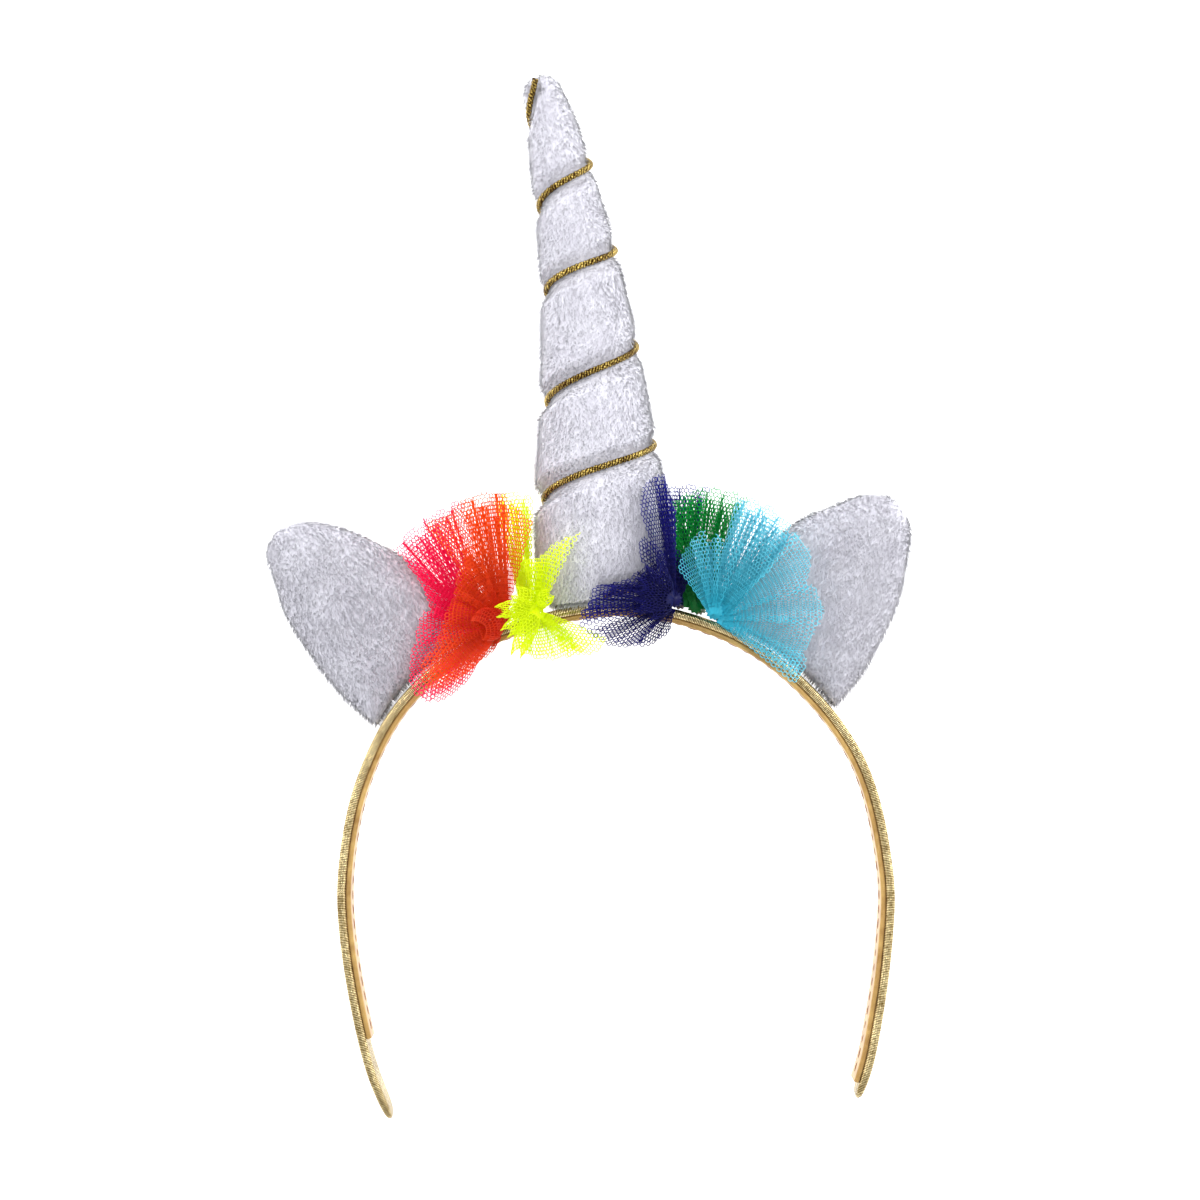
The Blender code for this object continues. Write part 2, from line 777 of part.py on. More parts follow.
def main():
    clear_scene()
    pieces = add_collection("unicorn_horn_headband")
    helpers = add_collection("helpers", helper=True)
    frame = bpy.data.objects.new("headband_frame", None)
    pieces.objects.link(frame)
    build_hoop(pieces, helpers, frame)
    build_lining(pieces, helpers, frame)
    horn = build_horn(pieces, helpers, frame)
    build_cord(horn, pieces, frame)
    build_ear("ear_left", EAR_LEFT_AT, -1.0, EAR_LEFT_EDGE, pieces, frame)
    build_ear("ear_right", EAR_RIGHT_AT, 1.0, EAR_RIGHT_EDGE, pieces, frame)
    for colour, puff in TULLE.items():
        build_puff(colour, puff, pieces, helpers, frame)
    lay_down(frame, pieces)


main()
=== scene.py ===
import math

import bpy
import numpy as np
from mathutils import Matrix, Vector, noise
from mathutils.bvhtree import BVHTree


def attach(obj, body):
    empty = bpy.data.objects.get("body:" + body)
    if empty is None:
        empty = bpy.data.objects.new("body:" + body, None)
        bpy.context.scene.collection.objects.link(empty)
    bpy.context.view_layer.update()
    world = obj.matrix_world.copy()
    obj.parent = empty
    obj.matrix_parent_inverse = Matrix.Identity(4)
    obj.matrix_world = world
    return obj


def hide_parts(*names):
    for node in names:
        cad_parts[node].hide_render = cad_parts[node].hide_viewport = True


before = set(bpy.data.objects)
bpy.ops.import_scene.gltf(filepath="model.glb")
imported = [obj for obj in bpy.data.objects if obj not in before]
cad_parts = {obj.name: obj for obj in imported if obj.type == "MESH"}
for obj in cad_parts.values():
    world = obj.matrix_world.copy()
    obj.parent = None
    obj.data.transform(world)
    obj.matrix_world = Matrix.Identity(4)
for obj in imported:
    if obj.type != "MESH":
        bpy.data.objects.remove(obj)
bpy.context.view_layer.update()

# The hoop: a springy plastic strip, 10 mm wide and 2.2 mm thick, that narrows at both tips. Gold
# lame with fine cross ribs is wrapped round it and glued, with its edges under the tape inside.
MM = 0.001
HOOP_HALF_SPAN = 68.0 * MM
HOOP_DROP = 127.6 * MM
HOOP_WIDTH = 10.0 * MM
HOOP_THICK = 2.2 * MM
HOOP_ROUNDING = 0.95 * MM
TIP_TAPER = 13.0 * MM
TIP_SHARE = 0.34
STRIP_STEP = 0.8 * MM
HOOP_PATH = [  # across, share of HOOP_HALF_SPAN; down, share of HOOP_DROP
    (-0.826, 1.000), (-0.906, 0.889), (-0.992, 0.654), (-1.000, 0.517), (-0.935, 0.340),
    (-0.779, 0.184), (-0.497, 0.066), (0.000, 0.000), (0.382, 0.043), (0.660, 0.138),
    (0.896, 0.301), (0.997, 0.517), (0.994, 0.654), (0.934, 0.870), (0.885, 0.960),
]
# The hoop is drawn upright in its own plane, then laid on its back
LIE = 0.0839755
LAID = Matrix.Translation((0.0068052, -0.0027870, 0.0150919)) @ Matrix.Rotation(LIE, 4, "X")


def smooth_line(points, per_span, closed=False):
    """Points on a centripetal Catmull-Rom curve through the given points."""
    if closed:
        ring = [points[-1], *points, points[0], points[1]]
    else:
        first = tuple(2 * a - b for a, b in zip(points[0], points[1]))
        last = tuple(2 * a - b for a, b in zip(points[-1], points[-2]))
        ring = [first, *points, last]
    line = []
    for i in range(1, len(ring) - 2):
        p = [Vector(q) for q in ring[i - 1 : i + 3]]
        knots = [0.0]
        for a, b in zip(p, p[1:]):
            knots.append(knots[-1] + max((b - a).length, 1e-9) ** 0.5)
        k0, k1, k2, k3 = knots
        for step in range(per_span):
            k = k1 + (k2 - k1) * step / per_span
            a1 = p[0].lerp(p[1], (k - k0) / (k1 - k0))
            a2 = p[1].lerp(p[2], (k - k1) / (k2 - k1))
            a3 = p[2].lerp(p[3], (k - k2) / (k3 - k2))
            b1 = a1.lerp(a2, (k - k0) / (k2 - k0))
            b2 = a2.lerp(a3, (k - k1) / (k3 - k1))
            line.append(b1.lerp(b2, (k - k1) / (k2 - k1)))
    if not closed:
        line.append(Vector(points[-1]))
    return line


hoop_line = smooth_line([(x * HOOP_HALF_SPAN, -y * HOOP_DROP) for x, y in HOOP_PATH], 24)
hoop_reach = np.cumsum([0.0] + [(b - a).length for a, b in zip(hoop_line, hoop_line[1:])])
hoop_reach -= hoop_reach[min(range(len(hoop_line)), key=lambda i: hoop_line[i].length)]


def hoop_at(along):
    """The point this far along the hoop from its crown, and the direction out of the arch."""
    along = min(max(along, hoop_reach[0]), hoop_reach[-1])
    i = min(max(int(np.searchsorted(hoop_reach, along)) - 1, 0), len(hoop_line) - 2)
    share = (along - hoop_reach[i]) / (hoop_reach[i + 1] - hoop_reach[i])
    last = len(hoop_line) - 1
    here = (hoop_line[min(i + 1, last)] - hoop_line[max(i - 1, 0)]).normalized()
    next_one = (hoop_line[min(i + 2, last)] - hoop_line[i]).normalized()
    ahead = here.lerp(next_one, share).normalized()
    return hoop_line[i].lerp(hoop_line[i + 1], share), Vector((-ahead.y, ahead.x))


def off_hoop(along, out, front=0.0):
    """A point out from the hoop's middle line by this much and in front of its plane by that."""
    point, outwards = hoop_at(along)
    point = point + outwards * out
    return Vector((point.x, point.y, front))


def put(tree, kind, inputs=None, **settings):
    """A new node in a tree, with its settings, and a value or another node's socket to inputs."""
    made = tree.nodes.new(kind)
    for key, value in settings.items():
        setattr(made, key, value)
    for key, value in (inputs or {}).items():
        socket = made.inputs[key]
        if isinstance(value, bpy.types.NodeSocket):
            tree.links.new(value, socket)
        else:
            socket.default_value = value
    return made


def geo(tree, kind, inputs=None, **settings):
    """The first output of a new geometry node."""
    return put(tree, "GeometryNode" + kind, inputs, **settings).outputs[0]


def mark(tree, geometry, name, value, kind="FLOAT"):
    """The geometry with a value kept on it under a name."""
    given = {0: geometry, "Name": name, "Value": value}
    return geo(tree, "StoreNamedAttribute", given, data_type=kind)


def marked(tree, name, kind):
    """The value kept under a name."""
    return geo(tree, "InputNamedAttribute", {"Name": name}, data_type=kind)


def object_place(tree):
    """Where the surface lies, in the piece's own coordinates."""
    return put(tree, "ShaderNodeTexCoord").outputs["Object"]


def kept_value(tree, name):
    """A number that the piece's mesh keeps under a name."""
    return put(tree, "ShaderNodeAttribute", attribute_name=name).outputs["Fac"]


def noise_of(tree, place, scale, detail=2.0, roughness=0.5):
    """Smooth noise, from 0 to 1, over a place."""
    sizes = {"Vector": place, "Scale": scale, "Detail": detail, "Roughness": roughness}
    return put(tree, "ShaderNodeTexNoise", sizes).outputs["Fac"]


def shape_tree(name, sizes):
    """An empty Geometry Nodes tree with one named input for each size, and its input node."""
    tree = bpy.data.node_groups.new(name, "GeometryNodeTree")
    tree.interface.new_socket("Geometry", in_out="INPUT", socket_type="NodeSocketGeometry")
    for label, kind in sizes:
        tree.interface.new_socket(label, in_out="INPUT", socket_type="NodeSocket" + kind)
    tree.interface.new_socket("Geometry", in_out="OUTPUT", socket_type="NodeSocketGeometry")
    return tree, put(tree, "NodeGroupInput").outputs


def end_tree(tree, geometry, given):
    """Realizes the tree's result, gives it its material, and sends it out."""
    whole = geo(tree, "RealizeInstances", {0: geometry})
    painted = geo(tree, "SetMaterial", {0: whole, "Material": given["Material"]})
    put(tree, "NodeGroupOutput", {0: painted})


def math_of(tree, operation, *values):
    return put(tree, "ShaderNodeMath", dict(enumerate(values)), operation=operation).outputs[0]


def vector_of(tree, operation, *values):
    made = put(tree, "ShaderNodeVectorMath", operation=operation)
    for i, value in enumerate(values):
        socket = made.inputs["Scale"] if operation == "SCALE" and i == 1 else made.inputs[i]
        if isinstance(value, bpy.types.NodeSocket):
            tree.links.new(value, socket)
        else:
            socket.default_value = value
    return made.outputs["Value" if operation in ("LENGTH", "DISTANCE") else "Vector"]


def grow(piece, tree, **values):
    """Runs a Geometry Nodes tree on a piece and leaves the result as its plain mesh."""
    modifier = piece.modifiers.new(tree.name, "NODES")
    modifier.node_group = tree
    for item in tree.interface.items_tree:
        if item.in_out == "INPUT" and item.name in values:
            modifier[item.identifier] = values[item.name]
    piece.update_tag()
    graph = bpy.context.evaluated_depsgraph_get()
    mesh = bpy.data.meshes.new_from_object(piece.evaluated_get(graph))
    piece.modifiers.remove(modifier)
    old = piece.data
    piece.data = mesh
    bpy.data.meshes.remove(old)
    mesh.name = piece.name


def new_piece(name, points, edges=(), faces=()):
    """A piece of the headband from its points, edges and faces."""
    mesh = bpy.data.meshes.new(name)
    mesh.from_pydata([tuple(p) for p in points], list(edges), list(faces))
    piece = bpy.data.objects.new(name, mesh)
    bpy.context.scene.collection.objects.link(piece)
    return piece


def lay(piece, slot, *nodes):
    """Lays a finished piece down with the hoop, and enters it in the frame."""
    piece.data.transform(LAID)
    piece.data.update()
    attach(piece, "root")
    if nodes:
        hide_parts(*nodes)


def finish_of(name, **values):
    """A new material, its node tree and its Principled shader with these values set."""
    material = bpy.data.materials.new(name)
    material.use_nodes = True
    tree = material.node_tree
    shader = tree.nodes["Principled BSDF"]
    for key, value in values.items():
        shader.inputs[key.replace("_", " ")].default_value = value
    return material, tree, shader


def tip_share(along):
    """What is left of the hoop's width and thickness at this distance, as it nears a tip."""
    to_tip = min(along - hoop_reach[0], hoop_reach[-1] - along)
    return TIP_SHARE + (1 - TIP_SHARE) * math.sqrt(1 - max(0.0, 1.0 - to_tip / TIP_TAPER) ** 4)


# Strips with rounded edges that follow the hoop: the covered hoop itself, and the tape
strip_tree, given = shape_tree(
    "rounded_strip",
    [("Thickness", "Float"), ("Width", "Float"), ("Rounding", "Float"), ("Material", "Material")],
)
path = geo(strip_tree, "MeshToCurve", {0: given["Geometry"]})
path = geo(strip_tree, "SetCurveNormal", {0: path}, mode="Z_UP")
run = put(strip_tree, "GeometryNodeSplineParameter").outputs["Length"]
path = mark(strip_tree, path, "along", run)
profile = geo(
    strip_tree, "CurvePrimitiveQuadrilateral", {"Width": given["Thickness"], "Height": given["Width"]}
)
profile = geo(
    strip_tree, "FilletCurve", {0: profile, "Count": 5, "Radius": given["Rounding"]}, mode="POLY"
)
share = marked(strip_tree, "share", "FLOAT")
strip = geo(
    strip_tree,
    "CurveToMesh",
    {"Curve": path, "Profile Curve": profile, "Scale": share, "Fill Caps": True},
)
strip = geo(strip_tree, "MergeByDistance", {0: strip, "Distance": 0.00001})
strip = geo(strip_tree, "SetShadeSmooth", {0: strip})
end_tree(strip_tree, strip, given)


def strip_path(name, start, end, out, step, share_at):
    """A line along the hoop, this far out from its middle line, that a strip follows."""
    count = round((end - start) / step)
    stops = [start + (end - start) * i / count for i in range(count + 1)]
    line = new_piece(name, [off_hoop(d, out) for d in stops], [(i, i + 1) for i in range(count)])
    sizes = line.data.attributes.new("share", "FLOAT", "POINT")
    sizes.data.foreach_set("value", [share_at(d) for d in stops])
    return line


# Threads of metal: the base colour runs from dark brown, painted shade in the valleys between ribs, to
# near-white gold, painted highlights on the crowns and glints; the valleys are also rougher
thread_look = bpy.data.node_groups.new("metal_threads", "ShaderNodeTree")
for label, kind in (
    ("Ribs", "Float"), ("Dark", "Color"), ("Bright", "Color"), ("Grain", "Float"), ("Dullness", "Float"),
):
    thread_look.interface.new_socket(label, in_out="INPUT", socket_type="NodeSocket" + kind)
for label, kind in (("Color", "Color"), ("Height", "Float"), ("Roughness", "Float")):
    thread_look.interface.new_socket(label, in_out="OUTPUT", socket_type="NodeSocket" + kind)
given = put(thread_look, "NodeGroupInput").outputs
place = object_place(thread_look)
# The tone adds the ribs, fine painted glints and broad painted-light patches; it sets the bump, and it
# picks the colour between painted shade and painted highlight
grain_and_painted_glints = noise_of(thread_look, place, given["Grain"], roughness=0.7)
painted_light_patches = noise_of(thread_look, place, 160.0, 3.0)
height = math_of(thread_look, "MULTIPLY_ADD", grain_and_painted_glints, 0.9, given["Ribs"])
tone = math_of(thread_look, "MULTIPLY_ADD", painted_light_patches, 0.5, height)
tone = math_of(thread_look, "SUBTRACT", tone, given["Dullness"])
tone = put(
    thread_look, "ShaderNodeMapRange", {"Value": tone, "From Min": 0.78, "From Max": 1.26}
).outputs["Result"]
colour = put(thread_look, "ShaderNodeMix", {"Factor": tone}, data_type="RGBA")
for label, socket in zip(("Dark", "Bright"), [s for s in colour.inputs if s.type == "RGBA"]):
    thread_look.links.new(given[label], socket)
gloss = math_of(thread_look, "MULTIPLY_ADD", tone, -0.16, 0.42)
mixed = next(s for s in colour.outputs if s.type == "RGBA")
put(thread_look, "NodeGroupOutput", {"Color": mixed, "Height": height, "Roughness": gloss})


def fine_ribs(tree, pitch, patch, drift, base):
    """Fine ribs across a strip or round a strand, this far apart and a little uneven."""
    uneven = noise_of(tree, object_place(tree), patch)
    turns = math_of(tree, "MULTIPLY", kept_value(tree, "along"), math.tau / pitch)
    turns = math_of(tree, "MULTIPLY_ADD", uneven, drift, turns)
    return math_of(tree, "MULTIPLY_ADD", math_of(tree, "SINE", turns), 0.25, base)


def metal_thread(name, ribs, painted_shade_colour, painted_highlight_colour, grain, depth, shade_and_dullness):
    """A finish of metallic thread, with the pitch, patch, drift and base of its ribs. Its base colour is
    mixed from painted shade and painted highlight by the ribs and glints.
    """
    material, tree, shader = finish_of(name, Metallic=1.0)
    values = {"Ribs": fine_ribs(tree, *ribs), "Dark": painted_shade_colour, "Bright": painted_highlight_colour}
    values |= {"Grain": grain, "Dullness": shade_and_dullness}
    look = put(tree, "ShaderNodeGroup", values, node_tree=thread_look)
    bump = put(tree, "ShaderNodeBump", {"Height": look.outputs["Height"], "Distance": depth})
    tree.links.new(look.outputs["Color"], shader.inputs["Base Color"])
    tree.links.new(look.outputs["Roughness"], shader.inputs["Roughness"])
    tree.links.new(bump.outputs["Normal"], shader.inputs["Normal"])
    return material


# Dark brown for painted shade, near-white gold for painted highlights
lame = metal_thread(
    "gold_lame", (0.42 * MM, 220.0, 5.0, 0.3), (0.12, 0.065, 0.010, 1), (1.0, 0.84, 0.46, 1),
    1300.0, 0.08 * MM, 0.08,
)
band = strip_path("gold_band", hoop_reach[0], hoop_reach[-1], 0.0, STRIP_STEP, tip_share)
grow(band, strip_tree, Thickness=HOOP_THICK, Width=HOOP_WIDTH, Rounding=HOOP_ROUNDING, Material=lame)
lay(band, "gold_lame", "band")

# The tape: a tan-gold ribbon glued inside the hoop to cover the edges of the lame. Its middle is
# run down with a reddish-brown thread, and it stops short of both tips.
GLUE_GAP = 0.3 * MM
OUTER_FACE = HOOP_THICK / 2 + GLUE_GAP
TAPE_WIDTH = 8.4 * MM
TAPE_THICK = 1.0 * MM
TAPE_SHORT_LEFT = 21.0 * MM
TAPE_SHORT_RIGHT = 4.0 * MM
tape_out = -(HOOP_THICK / 2 + (TAPE_THICK + GLUE_GAP) / 2)
tape_start = hoop_reach[0] + TAPE_SHORT_LEFT
tape_end = hoop_reach[-1] - TAPE_SHORT_RIGHT


def ramp(tree, value, *stops):
    """A colour ramp through two stops, each a position and a colour."""
    made = put(tree, "ShaderNodeValToRGB", {"Fac": value})
    for i, (position, colour) in enumerate(stops):
        made.color_ramp.elements[i].position = position
        made.color_ramp.elements[i].color = (*colour, 1)
    return made.outputs["Color"]


tape_cloth, tree, shader = finish_of("tan_tape", Sheen_Weight=0.3, Metallic=0.25, Roughness=0.42)
weft = math_of(tree, "MULTIPLY", kept_value(tree, "along"), math.tau / (0.5 * MM))
weft = math_of(tree, "SINE", weft)
streak = noise_of(tree, object_place(tree), 260.0, 4.0)
shade = ramp(tree, streak, (0.3, (0.33, 0.17, 0.035)), (0.68, (0.58, 0.37, 0.11)))
relief = math_of(tree, "MULTIPLY_ADD", weft, 0.15, streak)
bump = put(tree, "ShaderNodeBump", {"Height": relief, "Distance": 0.1 * MM, "Strength": 0.7})
tree.links.new(shade, shader.inputs["Base Color"])
tree.links.new(bump.outputs["Normal"], shader.inputs["Normal"])
tape = strip_path("inner_tape", tape_start, tape_end, tape_out, STRIP_STEP, lambda d: 1.0)
for vertex in tape.data.vertices:
    wander = noise.noise(Vector((vertex.co.x, vertex.co.y, 0.0)) * 90.0)
    vertex.co.z += wander * 0.35 * MM
grow(
    tape, strip_tree, Thickness=TAPE_THICK + GLUE_GAP, Width=TAPE_WIDTH, Rounding=0.4 * MM,
    Material=tape_cloth,
)
lay(tape, "lining_tape", "band_lining")

stitch_tree, given = shape_tree(
    "stitches",
    [("Spacing", "Float"), ("Length", "Float"), ("Radius", "Float"), ("Material", "Material")],
)
path = geo(stitch_tree, "MeshToCurve", {0: given["Geometry"]})
path = geo(stitch_tree, "ResampleCurve", {0: path, "Length": given["Spacing"]}, mode="LENGTH")
ahead = geo(stitch_tree, "InputTangent")
turn = put(stitch_tree, "FunctionNodeAlignRotationToVector", {"Vector": ahead}, axis="Z").outputs[0]
bead = put(stitch_tree, "GeometryNodeMeshUVSphere", {"Segments": 6, "Rings": 5, "Radius": 1.0})
size = put(
    stitch_tree,
    "ShaderNodeCombineXYZ",
    {"X": given["Radius"], "Y": given["Radius"], "Z": given["Length"]},
).outputs[0]
uneven = put(
    stitch_tree, "FunctionNodeRandomValue", {2: 0.7, 3: 1.15, "Seed": 3}, data_type="FLOAT"
).outputs[1]
size = vector_of(stitch_tree, "SCALE", size, uneven)
row = geo(
    stitch_tree,
    "InstanceOnPoints",
    {"Points": path, "Instance": bead.outputs["Mesh"], "Rotation": turn, "Scale": size},
)
end_tree(stitch_tree, row, given)
thread_brown, tree, shader = finish_of("brown_thread", Roughness=0.7)
tint = noise_of(tree, object_place(tree), 900.0)
shade = ramp(tree, tint, (0.0, (0.10, 0.020, 0.012)), (1.0, (0.34, 0.11, 0.06)))
tree.links.new(shade, shader.inputs["Base Color"])
seam_out = -(OUTER_FACE + TAPE_THICK)
seam = strip_path(
    "tape_stitches", tape_start + 3 * MM, tape_end - 3 * MM, seam_out, MM, lambda d: 1.0
)
for vertex in seam.data.vertices:
    vertex.co.z += noise.noise(Vector((vertex.co.x, vertex.co.y, 0.3)) * 120.0) * 0.5 * MM
grow(seam, stitch_tree, Spacing=3.6 * MM, Length=1.25 * MM, Radius=0.2 * MM, Material=thread_brown)
lay(seam, "lining_tape")

# The horn: a cone of white short-pile plush, sewn up the back and stuffed. The cord wound round it
# draws it in to soft rolls, it leans a little to the left, and its back lies flat on the floor.
HORN_HEIGHT = 131.5 * MM
HORN_RADIUS = 17.2 * MM
HORN_AT = -3.0 * MM
HORN_FLATTENED = 0.9 * MM
HORN_SETTLE = 0.08
PINCH_DEPTH = 3.3 * MM
PINCH_REACH = 4.6 * MM
PINCH_AT_TIP = 0.3
CORD_RADIUS = 0.85 * MM
HORN_AXIS = [  # up, share of HORN_HEIGHT; lean to the left, share of HORN_HEIGHT
    (0.00, 0.000), (0.16, 0.005), (0.33, 0.015), (0.50, 0.029), (0.66, 0.050),
    (0.83, 0.083), (0.91, 0.100), (0.96, 0.114), (1.00, 0.124),
]
HORN_FORM = [  # up, share of HORN_HEIGHT; radius, share of HORN_RADIUS
    (0.000, 0.72), (0.012, 0.84), (0.035, 0.93), (0.080, 0.99), (0.140, 1.00),
    (0.220, 0.97), (0.330, 0.87), (0.450, 0.77), (0.590, 0.655), (0.720, 0.555),
    (0.850, 0.455), (0.940, 0.360), (0.985, 0.280), (1.000, 0.160),
]
CORD_WINDING = [  # turns from its right at the tip; up, share of HORN_HEIGHT
    (0.28, 0.985), (0.50, 0.925), (1.00, 0.822), (1.50, 0.758), (2.00, 0.657), (2.50, 0.597),
    (3.00, 0.478), (3.50, 0.384), (4.00, 0.293), (4.50, 0.197), (5.00, 0.050), (5.25, 0.010),
]
PINCH_ROUND = [  # degrees round the horn from its right over its front; share of PINCH_DEPTH
    (-90, 1.22), (-45, 0.80), (0, 0.55), (45, 0.55), (90, 0.66),
    (135, 0.89), (180, 1.00), (225, 1.24), (270, 1.22),
]


def between(rows, value):
    """The second column of rows at a value of the first, eased through the rows."""
    value = min(max(value, rows[0][0]), rows[-1][0])
    i = next(k for k in range(len(rows) - 1) if value <= rows[k + 1][0])
    (x0, y0), (x1, y1) = rows[i], rows[i + 1]
    before = rows[max(i - 1, 0)]
    after = rows[min(i + 2, len(rows) - 1)]
    slope0 = (y1 - before[1]) / (x1 - before[0])
    slope1 = (after[1] - y0) / (after[0] - x0)
    t = (value - x0) / (x1 - x0)
    span = x1 - x0
    return (
        y0 * (2 * t**3 - 3 * t**2 + 1)
        + slope0 * span * (t**3 - 2 * t**2 + t)
        + y1 * (3 * t**2 - 2 * t**3)
        + slope1 * span * (t**3 - t**2)
    )


def horn_surface(share, angle, size):
    """A point on the plush at this height and angle, drawn in by the cord, seated on the hoop."""
    low, high = max(share - 0.01, 0.0), min(share + 0.01, 1.0)
    bend = (between(HORN_AXIS, high) - between(HORN_AXIS, low)) / (high - low)
    along = Vector((-bend, 1.0, 0.0)).normalized()
    foot = off_hoop(HORN_AT, OUTER_FACE)
    place = foot + Vector((-between(HORN_AXIS, share), share, 0.0)) * HORN_HEIGHT
    side = between(PINCH_ROUND, (math.degrees(angle) + 90) % 360 - 90)
    depth = PINCH_DEPTH * side * (PINCH_AT_TIP + (1 - PINCH_AT_TIP) * between(HORN_FORM, share))
    turns = angle / math.tau % 1.0
    nearest = 1.0
    if turns < CORD_WINDING[0][0]:
        turns += 1.0
    while turns <= CORD_WINDING[-1][0]:
        away = abs(share - between(CORD_WINDING, turns)) * HORN_HEIGHT / PINCH_REACH
        nearest = min(nearest, away)
        turns += 1.0
    radius = max(size - depth * (1 - nearest**2) ** 2, 0.0) if size else 0.0
    across = radius * math.cos(angle)
    place += Vector((along.y * across, -along.x * across, radius * math.sin(angle)))
    settle = max(0.0, 1.0 - share / HORN_SETTLE) ** 2
    place.y += settle * (off_hoop(place.x, OUTER_FACE).y + share * HORN_HEIGHT - place.y)
    return place


# The plush carries a faint bluish-white emission: a painted glow that stands in for light passing
# through the pile
plush, tree, shader = finish_of(
    "white_plush", Roughness=0.9, Sheen_Weight=1.0, Sheen_Roughness=0.4, Specular_IOR_Level=0.15,
    Emission_Strength=0.02, Emission_Color=(0.92, 0.92, 1.0, 1),
)
place = object_place(tree)
drift = put(tree, "ShaderNodeTexNoise", {"Vector": place, "Scale": 90.0}).outputs["Color"]
combed = vector_of(tree, "MULTIPLY_ADD", drift, (0.006, 0.002, 0.006), place)
combed = vector_of(tree, "MULTIPLY", combed, (1.0, 0.22, 1.0))
streaks = noise_of(tree, combed, 1500.0, 4.0, 0.6)
clump = noise_of(tree, place, 130.0, 3.0)
tone = math_of(tree, "MULTIPLY_ADD", clump, 0.8, streaks)
shade = math_of(tree, "MULTIPLY", tone, 0.56)
shade = ramp(tree, shade, (0.3, (0.62, 0.605, 0.68)), (0.7, (0.80, 0.795, 0.86)))
skin = put(tree, "ShaderNodeAttribute", attribute_name="skin").outputs["Vector"]
own = put(tree, "ShaderNodeNewGeometry").outputs["Normal"]
soft = vector_of(tree, "MULTIPLY_ADD", own, (0.12, 0.12, 0.12), skin)
soft = vector_of(tree, "NORMALIZE", soft)
bump = put(
    tree, "ShaderNodeBump", {"Height": tone, "Distance": 0.25 * MM, "Normal": soft, "Strength": 0.5}
)
tree.links.new(shade, shader.inputs["Base Color"])
tree.links.new(bump.outputs["Normal"], shader.inputs["Normal"])

PILE_RISE = 0.9 * MM
PILE_LENGTH = 1.8 * MM
PILE_WIDTH = 0.14 * MM
PILE_LEAN = 0.9
HORN_TUFTS = 34000
CORD_CLEARANCE = 0.45 * MM
HORN_SIDES = 60
HORN_RINGS = 210
up = Vector((0.0, math.sin(LIE), math.cos(LIE)))
back = [between(HORN_FORM, i / 82) * HORN_RADIUS for i in range(83)]
floor = min(horn_surface(i / 82, -math.pi / 2, size).dot(up) for i, size in enumerate(back))
floor += HORN_FLATTENED
points = []
for i in range(HORN_RINGS + 1):
    share = i / HORN_RINGS
    size = between(HORN_FORM, share) * HORN_RADIUS
    for j in range(HORN_SIDES):
        point = horn_surface(share, math.tau * j / HORN_SIDES, size)
        point += up * max(0.0, floor - point.dot(up))
        points.append(point)
faces = []
for i in range(HORN_RINGS):
    for j in range(HORN_SIDES):
        a, b = i * HORN_SIDES + j, i * HORN_SIDES + (j + 1) % HORN_SIDES
        faces.append((a, a + HORN_SIDES, b + HORN_SIDES, b))
faces.append(tuple(range(HORN_SIDES)))
faces.append(tuple(HORN_RINGS * HORN_SIDES + j for j in reversed(range(HORN_SIDES))))
horn = new_piece("plush_horn", points, faces=faces)


def draw_in(piece):
    """Moves a plush piece's skin in from its outline, which the ends of its pile make up."""
    for vertex, normal in zip(piece.data.vertices, [v.normal.copy() for v in piece.data.vertices]):
        vertex.co -= normal * PILE_RISE
    piece.data.update()


draw_in(horn)
points = [vertex.co.copy() for vertex in horn.data.vertices]

# The cord's line lies in the groove that it draws, a little clear of the stuffed cloth
ground = BVHTree.FromPolygons(points, faces)
cord_line = []
turns = CORD_WINDING[0][0]
while turns <= CORD_WINDING[-1][0]:
    share = between(CORD_WINDING, turns)
    size = between(HORN_FORM, share) * HORN_RADIUS
    lift = -PILE_RISE
    while lift < 3 * CORD_RADIUS:
        point = horn_surface(share, turns * math.tau, size + lift)
        near, outwards, _, _ = ground.find_nearest(point)
        if (point - near).length > CORD_RADIUS + CORD_CLEARANCE and (point - near).dot(outwards) > 0:
            break
        lift += CORD_RADIUS / 10
    cord_line.append(point)
    turns += 1 / 64
for _ in range(3):
    inner = [(a + b * 2 + c) / 4 for a, b, c in zip(cord_line, cord_line[1:], cord_line[2:])]
    cord_line = [cord_line[0], *inner, cord_line[-1]]
steps = [(i, i + 1) for i in range(len(cord_line) - 1)]
cord = new_piece("gold_cord", cord_line, steps)

# Pile: short pointed tufts all over the cloth, combed one way, in swirls, and shorter by the cord
pile_tree, given = shape_tree(
    "pile",
    [
        ("Density", "Float"), ("Length", "Float"), ("Width", "Float"), ("Comb", "Vector"),
        ("Lean", "Float"), ("Seed", "Int"), ("Cord", "Object"), ("Material", "Material"),
    ],
)
tufts = put(
    pile_tree,
    "GeometryNodeDistributePointsOnFaces",
    {"Mesh": given["Geometry"], "Density": given["Density"], "Seed": given["Seed"]},
)
place = geo(pile_tree, "InputPosition")
swirl = put(pile_tree, "ShaderNodeTexNoise", {"Vector": place, "Scale": 110.0, "Detail": 2.0})
swirl = vector_of(pile_tree, "SUBTRACT", swirl.outputs["Color"], (0.5, 0.5, 0.5))
stray = put(
    pile_tree,
    "FunctionNodeRandomValue",
    {0: (-1, -1, -1), 1: (1, 1, 1), "Seed": 5},
    data_type="FLOAT_VECTOR",
).outputs[0]
way = vector_of(pile_tree, "SCALE", swirl, 2.4)
way = vector_of(pile_tree, "ADD", way, given["Comb"])
way = vector_of(pile_tree, "SCALE", way, given["Lean"])
way = vector_of(pile_tree, "ADD", way, vector_of(pile_tree, "SCALE", stray, 0.28))
way = vector_of(pile_tree, "ADD", way, tufts.outputs["Normal"])
